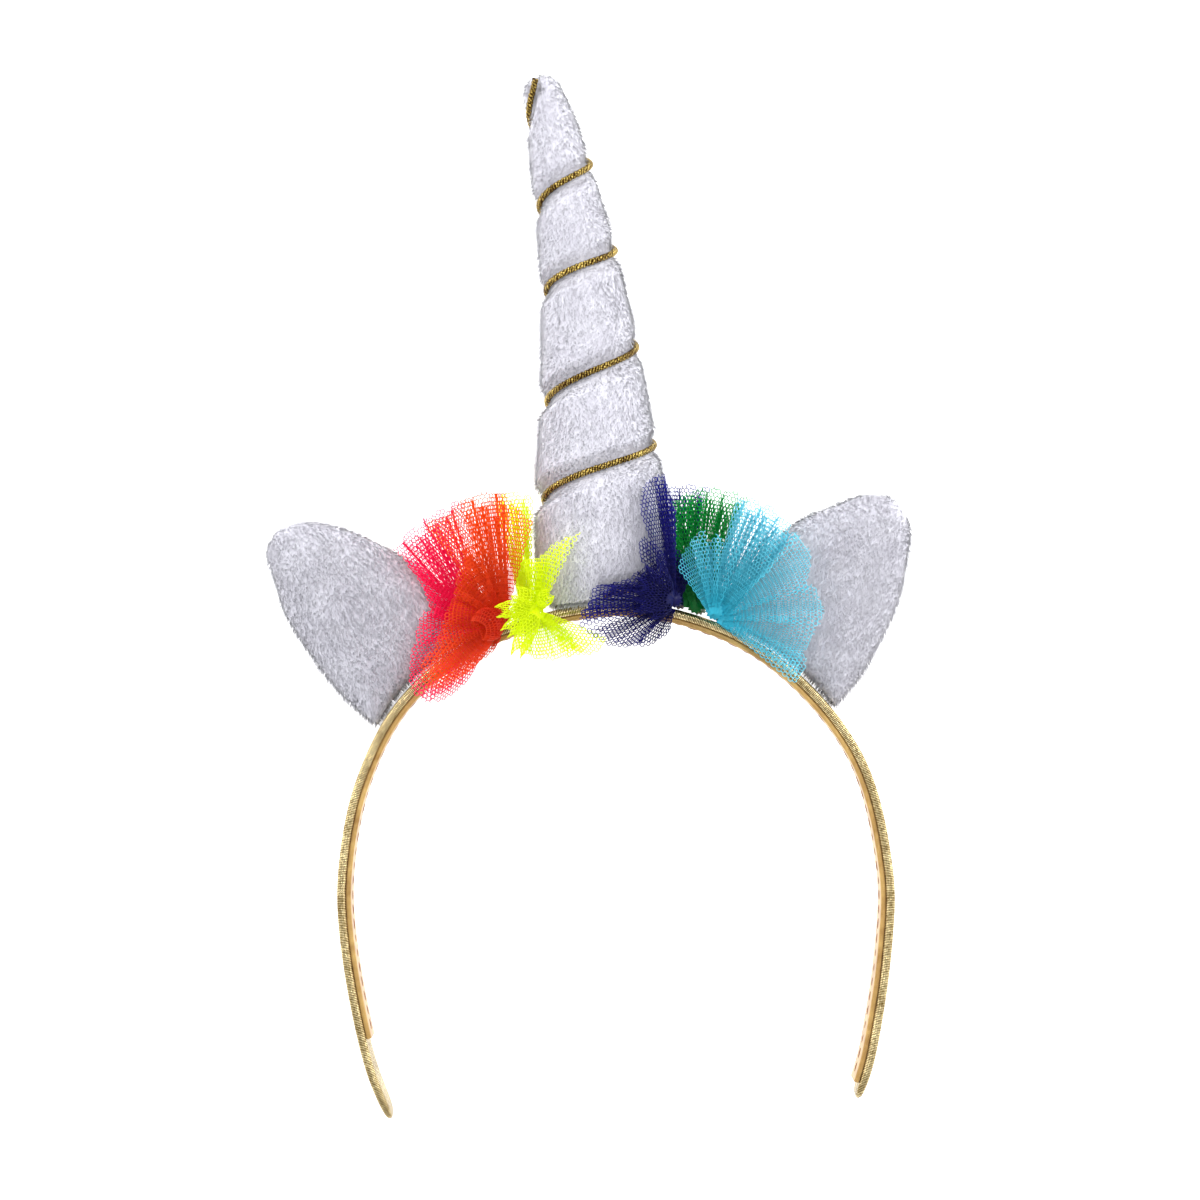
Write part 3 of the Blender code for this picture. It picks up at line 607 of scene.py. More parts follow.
turn = put(pile_tree, "FunctionNodeAlignRotationToVector", {"Vector": way}, axis="Z").outputs[0]
rooted = mark(pile_tree, tufts.outputs["Points"], "skin", tufts.outputs["Normal"], "FLOAT_VECTOR")
outwards = geo(pile_tree, "InputNormal")
cloth = mark(pile_tree, given["Geometry"], "skin", outwards, "FLOAT_VECTOR")
cord_shape = put(pile_tree, "GeometryNodeObjectInfo", {"Object": given["Cord"]}).outputs["Geometry"]
near = put(pile_tree, "GeometryNodeProximity", {0: cord_shape}, target_element="EDGES")
room = put(
    pile_tree,
    "ShaderNodeMapRange",
    {"Value": near.outputs["Distance"], "From Min": 0.9 * MM, "From Max": 2.2 * MM, "To Min": 0.6},
).outputs["Result"]
room = math_of(pile_tree, "MAXIMUM", room, math_of(pile_tree, "SUBTRACT", 1.0, near.outputs["Is Valid"]))
uneven = put(
    pile_tree, "FunctionNodeRandomValue", {2: 0.55, 3: 1.2, "Seed": 9}, data_type="FLOAT"
).outputs[1]
size = math_of(pile_tree, "MULTIPLY", uneven, room)
spike = put(
    pile_tree,
    "GeometryNodeMeshCone",
    {
        "Vertices": 3, "Side Segments": 1, "Fill Segments": 1, "Radius Top": 0.0,
        "Radius Bottom": math_of(pile_tree, "MULTIPLY", given["Width"], 0.6), "Depth": given["Length"],
    },
    fill_type="NGON",
).outputs["Mesh"]
coat = geo(
    pile_tree,
    "InstanceOnPoints",
    {"Points": rooted, "Instance": spike, "Rotation": turn, "Scale": size},
)
both = put(pile_tree, "GeometryNodeJoinGeometry", {0: coat})
pile_tree.links.new(cloth, both.inputs[0])
soft = geo(pile_tree, "SetShadeSmooth", {0: both.outputs[0]})
end_tree(pile_tree, soft, given)


def comb_pile(piece, count, comb, seed, near=None):
    """Grows this many tufts of pile on a plush piece."""
    piece.data.update()
    area = sum(face.area for face in piece.data.polygons)
    grow(
        piece, pile_tree, Density=count / area, Length=PILE_LENGTH, Width=PILE_WIDTH, Comb=comb,
        Lean=PILE_LEAN, Seed=seed, Cord=near, Material=plush,
    )


comb_pile(horn, HORN_TUFTS, (-0.1, -1.0, 0.0), 1, cord)
lay(horn, "white_plush", "horn")
for vertex in horn.data.vertices:
    vertex.co.z = max(vertex.co.z, 0.0)

# The cord: three strands of gold thread twisted to a cord 1.7 mm thick, wound round the horn from
# the tip to the hoop, and glued at both ends.
CORD_TWIST = 3.4 * MM
twist_tree, given = shape_tree(
    "twisted_strands",
    [
        ("Strands", "Int"), ("Twist", "Float"), ("Strand Radius", "Float"),
        ("Offset", "Float"), ("Material", "Material"),
    ],
)
path = geo(twist_tree, "MeshToCurve", {0: given["Geometry"]})
path = geo(twist_tree, "ResampleCurve", {0: path, "Length": 0.45 * MM}, mode="LENGTH")
copies = put(
    twist_tree,
    "GeometryNodeDuplicateElements",
    {"Geometry": path, "Amount": given["Strands"]},
    domain="SPLINE",
)
run = put(twist_tree, "GeometryNodeSplineParameter").outputs["Length"]
angle = math_of(twist_tree, "DIVIDE", run, given["Twist"])
part = math_of(twist_tree, "DIVIDE", copies.outputs["Duplicate Index"], given["Strands"])
angle = math_of(twist_tree, "MULTIPLY", math_of(twist_tree, "ADD", angle, part), math.tau)
normal = geo(twist_tree, "InputNormal")
ahead = geo(twist_tree, "InputTangent")
third = vector_of(twist_tree, "CROSS_PRODUCT", ahead, normal)
side = vector_of(twist_tree, "SCALE", normal, math_of(twist_tree, "COSINE", angle))
rise = vector_of(twist_tree, "SCALE", third, math_of(twist_tree, "SINE", angle))
away = vector_of(twist_tree, "SCALE", vector_of(twist_tree, "ADD", side, rise), given["Offset"])
strands = geo(twist_tree, "SetPosition", {0: copies.outputs["Geometry"], "Offset": away})
strands = mark(twist_tree, strands, "along", run)
ring = geo(
    twist_tree,
    "CurvePrimitiveCircle",
    {"Resolution": 6, "Radius": given["Strand Radius"]},
    mode="RADIUS",
)
strands = geo(twist_tree, "CurveToMesh", {"Curve": strands, "Profile Curve": ring, "Fill Caps": True})
strands = geo(twist_tree, "MergeByDistance", {0: strands, "Distance": 0.00001})
strands = geo(twist_tree, "SetShadeSmooth", {0: strands})
end_tree(twist_tree, strands, given)

# The metal foil wound round each strand shows as fine slanting bands, in relief and in painted shade and
# painted highlight, from black-brown to bright gold
foil = metal_thread(
    "gold_foil_thread", (0.55 * MM, 700.0, 9.0, 0.25), (0.045, 0.018, 0.003, 1),
    (1.0, 0.74, 0.20, 1), 1500.0, 0.12 * MM, 0.14,
)
grow(
    cord, twist_tree, Strands=3, Twist=CORD_TWIST, Offset=0.41 * MM, Material=foil,
    **{"Strand Radius": 0.46 * MM},
)
lay(cord, "gold_cord", "horn_cord")

# The ears: two flat lobes of the same plush, each sewn from a front and a back, turned, stuffed and
# glued on edge to the hoop.
EAR_BASE = 34.0 * MM
EAR_HEIGHT = 51.5 * MM
EAR_THICK = 12.0 * MM
EAR_TUFTS = 19000
EAR_SIDES = 80
EAR_RINGS = 36
EAR_MIDDLE = (0.0, 0.42)
EAR_LEFT_AT = -52.0 * MM
EAR_RIGHT_AT = 45.5 * MM
EAR_LEFT_EDGE = [  # along the hoop, share of EAR_BASE; out, share of EAR_HEIGHT
    (-0.45, 0.00), (-0.46, 0.16), (-0.42, 0.35), (-0.33, 0.54), (-0.22, 0.74),
    (-0.08, 0.94), (0.03, 1.00), (0.13, 0.96), (0.19, 0.85), (0.27, 0.70),
    (0.36, 0.45), (0.45, 0.22), (0.49, 0.00),
]
EAR_RIGHT_EDGE = [
    (-0.47, 0.00), (-0.50, 0.16), (-0.48, 0.42), (-0.41, 0.61), (-0.30, 0.76),
    (-0.21, 0.89), (-0.10, 0.955), (0.03, 0.91), (0.12, 0.79), (0.26, 0.58),
    (0.36, 0.37), (0.45, 0.15), (0.47, 0.00),
]


def ear_point_number(ring, side):
    """The number of a point on the lobe's rings, which close to one point at both ends."""
    if 0 < ring < EAR_RINGS:
        return 1 + (ring - 1) * EAR_SIDES + side % EAR_SIDES
    return 0 if ring == 0 else 1 + (EAR_RINGS - 1) * EAR_SIDES


def make_ear(name, along, away, edge):
    """A stuffed lobe that stands on the hoop and follows it with its base."""
    outline = smooth_line([(a, b, 0.0) for a, b in (*edge, (0.25, 0), (0, 0), (-0.25, 0))], 8, True)
    points, faces = [], []
    for ring in range(EAR_RINGS + 1):
        spread = min(math.sin(math.pi * ring / EAR_RINGS), 1.0)
        z = -math.cos(math.pi * ring / EAR_RINGS)
        for side in range(EAR_SIDES if 0 < ring < EAR_RINGS else 1):
            x = spread * math.cos(math.tau * side / EAR_SIDES)
            y = spread * math.sin(math.tau * side / EAR_SIDES)
            place = side / EAR_SIDES * len(outline)
            rim = outline[int(place)].lerp(outline[(int(place) + 1) % len(outline)], place % 1.0)
            share_along = EAR_MIDDLE[0] + (rim.x - EAR_MIDDLE[0]) * spread
            share_out = max(EAR_MIDDLE[1] + (rim.y - EAR_MIDDLE[1]) * spread, 0.0)
            puff = 1 + 0.10 * noise.noise(Vector((x * 2.3, y * 2.3, z * 0.5 + along * 90)))
            front = math.copysign(EAR_THICK / 2 * puff * math.sqrt(max(1 - spread**4, 0.0)), z)
            distance = along + away * share_along * EAR_BASE
            points.append(off_hoop(distance, OUTER_FACE + share_out * EAR_HEIGHT, front))
    for ring in range(EAR_RINGS):
        for side in range(EAR_SIDES):
            low = [ear_point_number(ring, side), ear_point_number(ring, side + 1)]
            high = [ear_point_number(ring + 1, side + 1), ear_point_number(ring + 1, side)]
            corners = list(dict.fromkeys(low + high))
            faces.append(corners[::-1] if away > 0 else corners)
    return new_piece(name, points, faces=faces)


for name, node, along, away, edge, comb in (
    ("plush_ear_left", "ear_left", EAR_LEFT_AT, -1.0, EAR_LEFT_EDGE, (0.5, -0.8, 0.0)),
    ("plush_ear_right", "ear_right", EAR_RIGHT_AT, 1.0, EAR_RIGHT_EDGE, (-0.5, -0.8, 0.0)),
):
    ear = make_ear(name, along, away, edge)
    draw_in(ear)
    comb_pile(ear, EAR_TUFTS, comb, 2 if away < 0 else 4)
    lay(ear, "white_plush", node)

# The tulle: strips of nylon net, each gathered on a thread along one side into a puff of pleated
# petals that stands on the hoop and fans out to the front. The net is knitted in six-sided meshes
# 1.08 mm wide, and its cut edges are raw.
PUFF_REACH = 30.0 * MM
STALK_RADIUS = 2.0 * MM
STALK_SUNK = 1.6 * MM
FOLD_DEPTH = 1.3 * MM
GATHER_PER_FOLD = 1.1 * MM
LAYER_GAP = 0.6 * MM
CRUMPLE = 1.3 * MM
FULLNESS = 1.7
THIN_FULLNESS = 1.15
MESH_WIDTH = 1.08 * MM
STRAND_RADIUS = 0.13 * MM
net_tree, given = shape_tree(
    "six_sided_net",
    [
        ("Mesh Width", "Float"), ("Strand Radius", "Float"), ("Across", "Int"), ("Down", "Int"),
        ("Material", "Material"),
    ],
)
pitch = given["Mesh Width"]
row_gap = math_of(net_tree, "MULTIPLY", pitch, math.sqrt(3) / 2)
field = put(
    net_tree, "GeometryNodeMeshGrid", {"Vertices X": given["Across"], "Vertices Y": given["Down"]}
).outputs["Mesh"]
index = geo(net_tree, "InputIndex")
column = math_of(net_tree, "FLOOR", math_of(net_tree, "DIVIDE", index, given["Down"]))
row = math_of(
    net_tree, "SUBTRACT", index, math_of(net_tree, "MULTIPLY", column, given["Down"])
)
stagger = math_of(net_tree, "MULTIPLY", math_of(net_tree, "MODULO", row, 2.0), 0.5)
knot = put(
    net_tree,
    "ShaderNodeCombineXYZ",
    {
        "X": math_of(net_tree, "MULTIPLY", math_of(net_tree, "ADD", column, stagger), pitch),
        "Y": math_of(net_tree, "MULTIPLY", row, row_gap),
    },
).outputs[0]
field = geo(net_tree, "SetPosition", {0: field, "Position": knot})
spokes = put(net_tree, "GeometryNodeJoinGeometry")
arm = math_of(net_tree, "MULTIPLY", pitch, 1 / math.sqrt(3))
for turn in (90, 210, 330):
    way = Vector((math.cos(math.radians(turn)), math.sin(math.radians(turn)), 0.0))
    tip = vector_of(net_tree, "SCALE", way, arm)
    spoke = put(net_tree, "GeometryNodeCurvePrimitiveLine", {"End": tip}).outputs[0]
    spoke = put(net_tree, "GeometryNodeCurveToMesh", {"Curve": spoke}).outputs[0]
    net_tree.links.new(spoke, spokes.inputs[0])
flat = geo(net_tree, "InstanceOnPoints", {"Points": field, "Instance": spokes.outputs[0]})
flat = geo(net_tree, "RealizeInstances", {0: flat})
flat = geo(
    net_tree, "MergeByDistance", {0: flat, "Distance": math_of(net_tree, "MULTIPLY", pitch, 0.02)}
)
cloth_map = marked(net_tree, "cloth", "FLOAT_VECTOR")
place = geo(net_tree, "InputPosition")
netted = marked(net_tree, "netted", "BOOLEAN")
gathered = marked(net_tree, "gathered", "BOOLEAN")
cloth = put(
    net_tree, "GeometryNodeSeparateGeometry", {0: given["Geometry"], "Selection": netted}, domain="FACE"
).outputs["Selection"]
bunched = put(
    net_tree,
    "GeometryNodeSeparateGeometry",
    {0: given["Geometry"], "Selection": gathered},
    domain="FACE",
).outputs["Selection"]
found = put(
    net_tree,
    "GeometryNodeSampleUVSurface",
    {"Mesh": cloth, "Value": place, "UV Map": cloth_map, "Sample UV": place},
    data_type="FLOAT_VECTOR",
)
flat = mark(net_tree, flat, "reach", put(net_tree, "ShaderNodeSeparateXYZ", {0: place}).outputs["Y"])
flat = mark(net_tree, flat, "found", found.outputs["Is Valid"], "BOOLEAN")
hung = geo(net_tree, "SetPosition", {0: flat, "Position": found.outputs["Value"]})
inside = marked(net_tree, "found", "BOOLEAN")
outside = put(net_tree, "FunctionNodeBooleanMath", {0: inside}, operation="NOT").outputs[0]
hung = geo(net_tree, "DeleteGeometry", {0: hung, "Selection": outside})
strands = geo(net_tree, "MeshToCurve", {0: hung})
ring = geo(
    net_tree, "CurvePrimitiveCircle", {"Resolution": 3, "Radius": given["Strand Radius"]}, mode="RADIUS"
)
net = geo(net_tree, "CurveToMesh", {"Curve": strands, "Profile Curve": ring})
whole = put(net_tree, "GeometryNodeJoinGeometry", {0: net})
net_tree.links.new(bunched, whole.inputs[0])
soft = geo(net_tree, "SetShadeSmooth", {0: whole.outputs[0]})
end_tree(net_tree, soft, given)


PETAL_COLUMNS = "start end reach_start reach_middle reach_end root rim folds layers margin jag".split()
LAYER_REACH = (1.0, 0.93, 0.90, 0.82)


def grid_faces(columns, rows, first):
    """The quads of a grid whose points start at this number."""
    width = columns + 1
    corners = ((first + j * width + i) for j in range(rows) for i in range(columns))
    return [(a, a + 1, a + width + 1, a + width) for a in corners]


def petal_cloth(root, petal, layer, s_start, first):
    """One pleated layer of a petal. Deeper layers are shorter and narrower, and their pleats fall
    between those above. Its root is bunched tight, so there it is cloth and not open net."""
    span = petal["end"] - petal["start"]
    dense = petal["layers"] > 2
    inset = span * petal["margin"] * (min(layer, 1) + 0.2 * layer)
    start, end = petal["start"] + inset, petal["end"] - inset
    middle_turn = math.radians((start + end) / 2)
    across = Vector((-math.sin(middle_turn), math.cos(middle_turn)))
    folds = petal["folds"]
    gather = GATHER_PER_FOLD * folds
    overfold = 0.9 if dense else 0.3
    columns, rows = folds * 14, 16
    longest = max(petal["reach_start"], petal["reach_middle"], petal["reach_end"]) * PUFF_REACH
    width = math.radians(abs(end - start)) * longest * (FULLNESS if dense else THIN_FULLNESS)
    seed = s_start * 400 + layer * 3.7
    points, cloth, rises = [], [], []
    for j in range(rows + 1):
        rise = j / rows
        for i in range(columns + 1):
            t = i / columns
            drift = 0.7 * noise.noise(Vector((t * folds * 0.9, seed, 5.0)))
            pleat = t * folds * math.tau + layer * 1.9 + drift
            swing = t + overfold * math.sin(pleat) / (folds * math.tau)
            angle = math.radians(start + (end - start) * swing)
            bow = 4 * t * (1 - t)
            ends = petal["reach_start"] * (1 - t) + petal["reach_end"] * t
            middle = (petal["reach_start"] + petal["reach_end"]) / 2
            reach = (ends + bow * (petal["reach_middle"] - middle)) * PUFF_REACH * LAYER_REACH[layer]
            reach *= 1 + 0.05 * noise.noise(Vector((t * folds * 2.5, seed, 0.0)))
            reach *= 1 - petal["jag"] * (0.5 - 0.5 * math.cos(pleat))
            fold = math.cos(pleat) * FOLD_DEPTH * rise * (1.0 + 0.6 * rise)
            crumple = noise.noise(Vector((t * folds * 1.7, rise * 2.6, seed))) * CRUMPLE * rise
            z = (petal["root"] + (petal["rim"] - petal["root"]) * rise**0.8) * HOOP_WIDTH
            away = reach * rise + STALK_RADIUS * 0.4 * (1 - rise)
            shift = across * (t - 0.5) * gather * (1 - rise)
            points.append(
                Vector((
                    root.x + math.cos(angle) * away + shift.x,
                    root.y + math.sin(angle) * away + shift.y - STALK_RADIUS * 0.8 * (1 - rise) ** 2,
                    z + fold + crumple - layer * LAYER_GAP,
                ))
            )
            cloth.append((s_start + t * width, reach * rise))
            rises.append(rise)
    faces = grid_faces(columns, rows, first)
    bunch = []
    for face in faces:
        rise = rises[face[0] - first]
        uneven = 0.06 * noise.noise(Vector((cloth[face[0] - first][0] * 900, seed, 2.0)))
        bunch.append((rise >= 0.06, rise < 0.10 + uneven))
    return points, faces, cloth, bunch, width, longest


def curl_cloth(knot, curl, s_start, first):
    """A strip of the gathered cloth rolled into a loop whose mouth opens away from the knot."""
    turn, lift, length, radius, root = curl
    turn, lift = math.radians(turn), math.radians(lift)
    way = Vector((math.cos(turn) * math.cos(lift), math.sin(turn) * math.cos(lift), math.sin(lift)))
    side = way.cross(Vector((0.0, 0.0, 1.0))).normalized()
    over = side.cross(way)
    length, radius = length * PUFF_REACH, radius * PUFF_REACH
    base = Vector((knot.x, knot.y, root * HOOP_WIDTH))
    columns, rows = 26, 12
    width = 2.1 * math.pi * radius * 1.25
    points, cloth, rises = [], [], []
    for j in range(rows + 1):
        rise = j / rows
        for i in range(columns + 1):
            t = i / columns
            round_it = t * 2.1 * math.pi + turn
            wave = 1 + 0.22 * noise.noise(Vector((t * 5, rise * 1.5, s_start * 700)))
            out = radius * (0.15 + 0.85 * math.sin(rise**0.8 * math.pi * 0.86)) * wave
            out *= 1 - 0.12 * t
            spot = base + way * length * rise * (1 + 0.10 * math.cos(round_it * 2))
            spot += side * math.cos(round_it) * out + over * math.sin(round_it) * out * 0.75
            points.append(spot)
            cloth.append((s_start + t * width, length * rise))
            rises.append(rise)
    faces = grid_faces(columns, rows, first)
    bunch = [(rises[face[0] - first] >= 0.15, rises[face[0] - first] < 0.2) for face in faces]
    return points, faces, cloth, bunch, width, length


def stalk_cloth(foot, head, first):
    """The gathered stalk, drawn into narrow flutes round its thread, closed at both ends."""
    columns, rows = 48, 8
    turn = (head - foot).to_track_quat("Z", "Y").to_matrix()
    points = []
    for j in range(rows + 1):
        rise = j / rows
        belly = STALK_RADIUS * (0.85 + 0.15 * math.cos(rise * math.tau))
        for i in range(columns):
            angle = math.tau * i / columns
            flute = belly * (1 + 0.13 * math.cos(angle * 12 + rise * 1.5))
            around = turn @ Vector((math.cos(angle) * flute, math.sin(angle) * flute, 0.0))
            points.append(foot.lerp(head, rise) + around)
    faces = []
    for j in range(rows):
        for i in range(columns):
            a, b = j * columns + i, j * columns + (i + 1) % columns
            faces.append((first + a, first + b, first + b + columns, first + a + columns))
    faces.append(tuple(first + i for i in reversed(range(columns))))
    faces.append(tuple(first + rows * columns + i for i in range(columns)))
    return points, faces, [(0.0, 0.0)] * len(points), [(False, True)] * len(faces)


def net_finish(name, gathers_shade_colour, light, glow):
    """Coloured nylon, painted darker near the root as painted shade in the gathers and paler towards the
    single raw edges as painted light, with an even painted glow that is stronger for some dyes.
    """
    material, tree, shader = finish_of(
        name, Roughness=0.45, Specular_IOR_Level=0.25, Emission_Strength=glow
    )
    reach = kept_value(tree, "reach")
    out = put(
        tree, "ShaderNodeMapRange", {"Value": reach, "From Min": 3 * MM, "From Max": 26 * MM}
    ).outputs["Result"]
    uneven = noise_of(tree, object_place(tree), 500.0)
    out = math_of(tree, "MULTIPLY_ADD", uneven, 0.4, math_of(tree, "SUBTRACT", out, 0.2))
    shade = ramp(tree, out, (0.0, gathers_shade_colour), (1.0, light))
    tree.links.new(shade, shader.inputs["Base Color"])
    tree.links.new(shade, shader.inputs["Emission Color"])
    return material


# Each puff's colours are the painted-shade colour at the root, the paler colour at the rims, and the
# strength of its painted glow
PUFFS = {
    "pink": {
        "foot": (-33.6 * MM, 0.05),
        "head": (-32.4 * MM, 0.80),
        "colours": ((0.80, 0.003, 0.055), (1.0, 0.012, 0.115), 0.12),
        "petals": [
            (99, 141, 1.02, 0.99, 0.96, 0.55, 0.98, 3, 4, 0.16, 0.02),
            (136, 172, 0.92, 0.52, 0.47, 0.60, 1.00, 2, 3, 0.05, 0.02),
            (166, 200, 0.50, 0.55, 0.58, 0.74, 1.04, 1, 2, 0.05, 0.00),
            (196, 236, 0.60, 0.76, 0.78, 0.70, 0.96, 1, 1, 0.00, 0.00),
            (226, 262, 0.78, 0.70, 0.34, 0.70, 0.90, 1, 2, 0.05, 0.00),
        ],
        "curls": [],
    },
    "orange": {
        "foot": (-28.6 * MM, 0.25),
        "head": (-27.2 * MM, 1.32),
        "colours": ((0.56, 0.016, 0.001), (0.95, 0.090, 0.004), 0.12),
        "petals": [
            (104, 131, 0.97, 0.98, 0.96, 1.02, 1.30, 1, 1, 0.00, 0.02),
            (87, 111, 1.00, 1.02, 0.99, 1.05, 1.46, 2, 4, 0.02, 0.03),
            (71, 94, 0.80, 0.92, 1.00, 1.05, 1.46, 1, 1, 0.00, 0.02),
            (112, 158, 0.70, 0.52, 0.44, 1.10, 1.45, 2, 3, 0.04, 0.02),
            (150, 212, 0.44, 0.48, 0.64, 1.10, 1.48, 2, 2, 0.04, 0.00),
            (206, 246, 0.70, 0.83, 0.36, 1.12, 1.45, 1, 2, 0.05, 0.00),
            (226, 264, 0.50, 0.40, 0.22, 0.90, 0.95, 1, 2, 0.05, 0.00),
        ],
        "curls": [(212, 30, 0.26, 0.15, 1.30)],
    },
    "yellow": {
        "foot": (-22.6 * MM, 0.20),
        "head": (-18.6 * MM, 1.55),
        "colours": ((0.62, 0.76, 0.0), (0.82, 1.0, 0.012), 0.20),
        "petals": [
            (87, 108, 0.92, 0.98, 0.94, 0.38, 0.30, 2, 3, 0.05, 0.04),
            (60, 109, 0.68, 0.42, 0.42, 1.45, 1.92, 1, 2, 0.03, 0.00),
            (74, 112, 0.36, 0.34, 0.40, 1.40, 1.70, 1, 2, 0.05, 0.00),
            (176, 246, 0.22, 0.26, 0.34, 1.40, 1.56, 2, 3, 0.05, 0.00),
            (246, 318, 0.40, 0.46, 0.52, 1.30, 1.50, 2, 2, 0.03, 0.00),
            (300, 335, 0.50, 0.58, 0.64, 1.34, 1.54, 1, 2, 0.05, 0.00),
        ],
        "curls": [
            (190, 20, 0.34, 0.075, 1.52),
            (222, 18, 0.36, 0.070, 1.50),
            (248, 18, 0.44, 0.085, 1.48),
            (150, 24, 0.22, 0.080, 1.55),
            (40, 30, 0.16, 0.070, 1.60),
        ],
    },
    "blue": {
        "foot": (15.4 * MM, 0.25),
        "head": (13.2 * MM, 1.55),
        "colours": ((0.001, 0.001, 0.06), (0.004, 0.003, 0.20), 0.03),
        "petals": [
            (89, 111, 0.72, 1.02, 0.78, 1.35, 1.74, 1, 1, 0.00, 0.00),
            (88, 100, 0.74, 1.00, 1.00, 1.30, 1.60, 1, 3, 0.10, 0.00),
            (100, 130, 0.34, 0.54, 0.42, 1.50, 1.95, 1, 2, 0.05, 0.00),
            (124, 164, 0.34, 0.36, 0.42, 1.50, 1.90, 1, 3, 0.05, 0.00),
            (158, 197, 0.42, 0.68, 0.78, 1.50, 2.10, 2, 3, 0.10, 0.02),
            (198, 234, 0.76, 0.66, 0.48, 1.35, 1.60, 1, 2, 0.05, 0.02),
            (228, 264, 0.50, 0.42, 0.26, 1.30, 1.50, 1, 2, 0.05, 0.02),
            (74, 95, 0.97, 0.98, 0.95, 0.30, 0.20, 2, 3, 0.06, 0.05),
            (60, 100, 0.30, 0.34, 0.50, 0.90, 1.10, 1, 3, 0.05, 0.00),
        ],
        "curls": [
            (160, 22, 0.34, 0.090, 1.56),
            (190, 20, 0.34, 0.085, 1.54),
            (122, 24, 0.36, 0.085, 1.52),
            (214, 18, 0.26, 0.080, 1.48),
        ],
    },
    "green": {
        "foot": (20.2 * MM, 0.00),
        "head": (18.9 * MM, 0.78),
        "colours": ((0.0, 0.11, 0.015), (0.0, 0.36, 0.045), 0.05),
        "petals": [
            (64, 104, 0.98, 0.98, 0.88, 0.55, 0.86, 5, 4, 0.02, 0.05),
            (98, 118, 0.50, 0.60, 0.40, 0.70, 1.00, 1, 2, 0.05, 0.00),
        ],
        "curls": [],
    },
    "aqua": {
        "foot": (25.6 * MM, 0.15),
        "head": (23.4 * MM, 1.28),
        "colours": ((0.02, 0.34, 0.47), (0.16, 0.62, 0.76), 0.08),
        "petals": [
            (42, 80, 0.90, 0.97, 0.96, 1.00, 1.34, 4, 3, 0.03, 0.04),
            (96, 132, 0.66, 0.62, 0.44, 1.20, 1.48, 1, 1, 0.00, 0.10),
            (84, 110, 0.62, 0.66, 0.62, 1.22, 1.50, 1, 2, 0.05, 0.16),
            (66, 90, 0.64, 0.62, 0.64, 1.22, 1.50, 1, 1, 0.05, 0.12),
            (36, 62, 0.60, 0.74, 0.80, 1.05, 1.30, 2, 3, 0.05, 0.02),
            (12, 46, 0.78, 0.90, 0.94, 1.00, 1.20, 1, 1, 0.02, 0.00),
            (-8, 16, 0.86, 0.90, 0.80, 1.00, 1.16, 1, 1, 0.00, 0.00),
            (-40, -4, 0.86, 0.80, 0.88, 1.00, 1.12, 1, 1, 0.00, 0.00),
            (-44, -26, 0.86, 0.88, 0.84, 0.95, 1.02, 1, 1, 0.00, 0.00),
        ],
        "curls": [],
    },
}
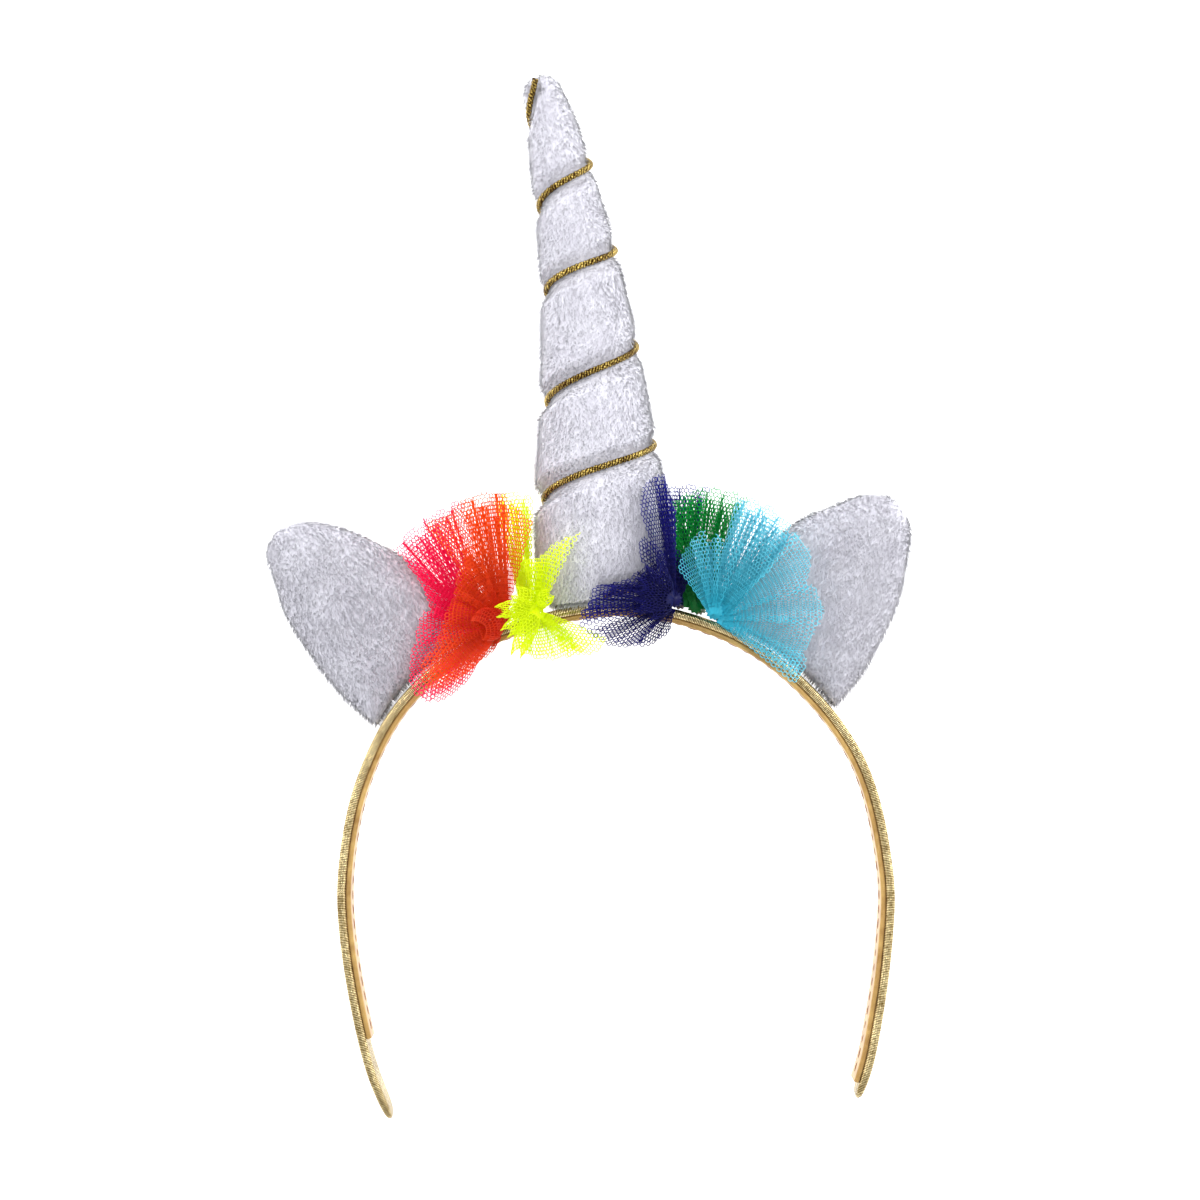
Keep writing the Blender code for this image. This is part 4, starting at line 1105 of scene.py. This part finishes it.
for colour, puff in PUFFS.items():
    foot, head = (
        off_hoop(along, OUTER_FACE + STALK_RADIUS, height * HOOP_WIDTH - STALK_SUNK)
        for along, height in (puff["foot"], puff["head"])
    )
    points, faces, cloth, bunch = stalk_cloth(foot, head, 0)
    edge, longest, area = 0.0, 0.0, 0.0
    for row in puff["petals"]:
        petal = dict(zip(PETAL_COLUMNS, row))
        climb = (petal["root"] * HOOP_WIDTH - foot.z) / (head.z - foot.z)
        for layer in range(petal["layers"]):
            more = petal_cloth(foot.lerp(head, climb), petal, layer, edge, len(points))
            points, faces = points + more[0], faces + more[1]
            cloth, bunch = cloth + more[2], bunch + more[3]
            edge += more[4] + 2 * MESH_WIDTH
            longest = max(longest, more[5])
            area += more[4] * more[5]
    for curl in puff["curls"]:
        more = curl_cloth(head, curl, edge, len(points))
        points, faces = points + more[0], faces + more[1]
        cloth, bunch = cloth + more[2], bunch + more[3]
        edge += more[4] + 2 * MESH_WIDTH
        area += more[4] * more[5]
    puff_piece = new_piece("tulle_puff_" + colour, points, faces=faces)
    layout = puff_piece.data.uv_layers.new(name="cloth")
    corners = [vertex for face in puff_piece.data.polygons for vertex in face.vertices]
    layout.data.foreach_set("uv", [value for k in corners for value in cloth[k]])
    for number, label in enumerate(("netted", "gathered")):
        marks = puff_piece.data.attributes.new(label, "BOOLEAN", "FACE")
        marks.data.foreach_set("value", [mark[number] for mark in bunch])
    grow(
        puff_piece, net_tree, Across=int(edge / MESH_WIDTH) + 2,
        Down=int(longest / (MESH_WIDTH * math.sqrt(3) / 2)) + 2,
        Material=net_finish(colour + "_net", *puff["colours"]),
        **{"Mesh Width": MESH_WIDTH, "Strand Radius": STRAND_RADIUS},
    )
    lay(puff_piece, colour + "_tulle", "tulle_" + colour)

# The stage: a plain pale floor, soft light from above and both sides, and the camera above it
corners = [(-2.0, -2.0, 0.0), (2.0, -2.0, 0.0), (2.0, 2.0, 0.0), (-2.0, 2.0, 0.0)]
stage = new_piece("pale_floor", corners, faces=[(0, 1, 2, 3)])
paper, tree, shader = finish_of(
    "pale_paper", Base_Color=(0.93, 0.93, 0.935, 1), Roughness=0.9,
    Emission_Color=(0.97, 0.98, 1.0, 1), Emission_Strength=0.8,
)
stage.data.materials.append(paper)

world = bpy.data.worlds.new("studio")
bpy.context.scene.world = world
world.use_nodes = True
sky = world.node_tree
way = put(sky, "ShaderNodeTexCoord").outputs["Generated"]
height = put(sky, "ShaderNodeSeparateXYZ", {0: way}).outputs["Z"]
glow = ramp(sky, height, (0.30, (1.0, 1.0, 1.0)), (0.85, (0.62, 0.63, 0.66)))
sky.links.new(glow, sky.nodes["Background"].inputs["Color"])
sky.nodes["Background"].inputs["Strength"].default_value = 1.05
for name, place, size, power in (
    ("left_softbox", (-0.8, 0.5, 0.6), 0.7, 6.5),
    ("right_softbox", (0.8, 0.4, 0.6), 0.7, 6.5),
    ("high_softbox", (0.02, 0.12, 1.1), 0.22, 2.5),
):
    lamp = bpy.data.lights.new(name, "AREA")
    lamp.size = size
    lamp.energy = power
    light = bpy.data.objects.new(name, lamp)
    light.location = place
    light.rotation_euler = Vector(place).to_track_quat("Z", "Y").to_euler()
    bpy.context.scene.collection.objects.link(light)

bpy.context.scene.view_settings.view_transform = "Standard"
lens = bpy.data.cameras.new("camera")
lens.lens = 74.4
lens.clip_start = 0.01
camera = bpy.data.objects.new("camera", lens)
camera.matrix_world = LAID @ Matrix.Translation((-4.0 * MM, 1.625 * MM, 620.0 * MM))
bpy.context.scene.collection.objects.link(camera)
bpy.context.scene.camera = camera
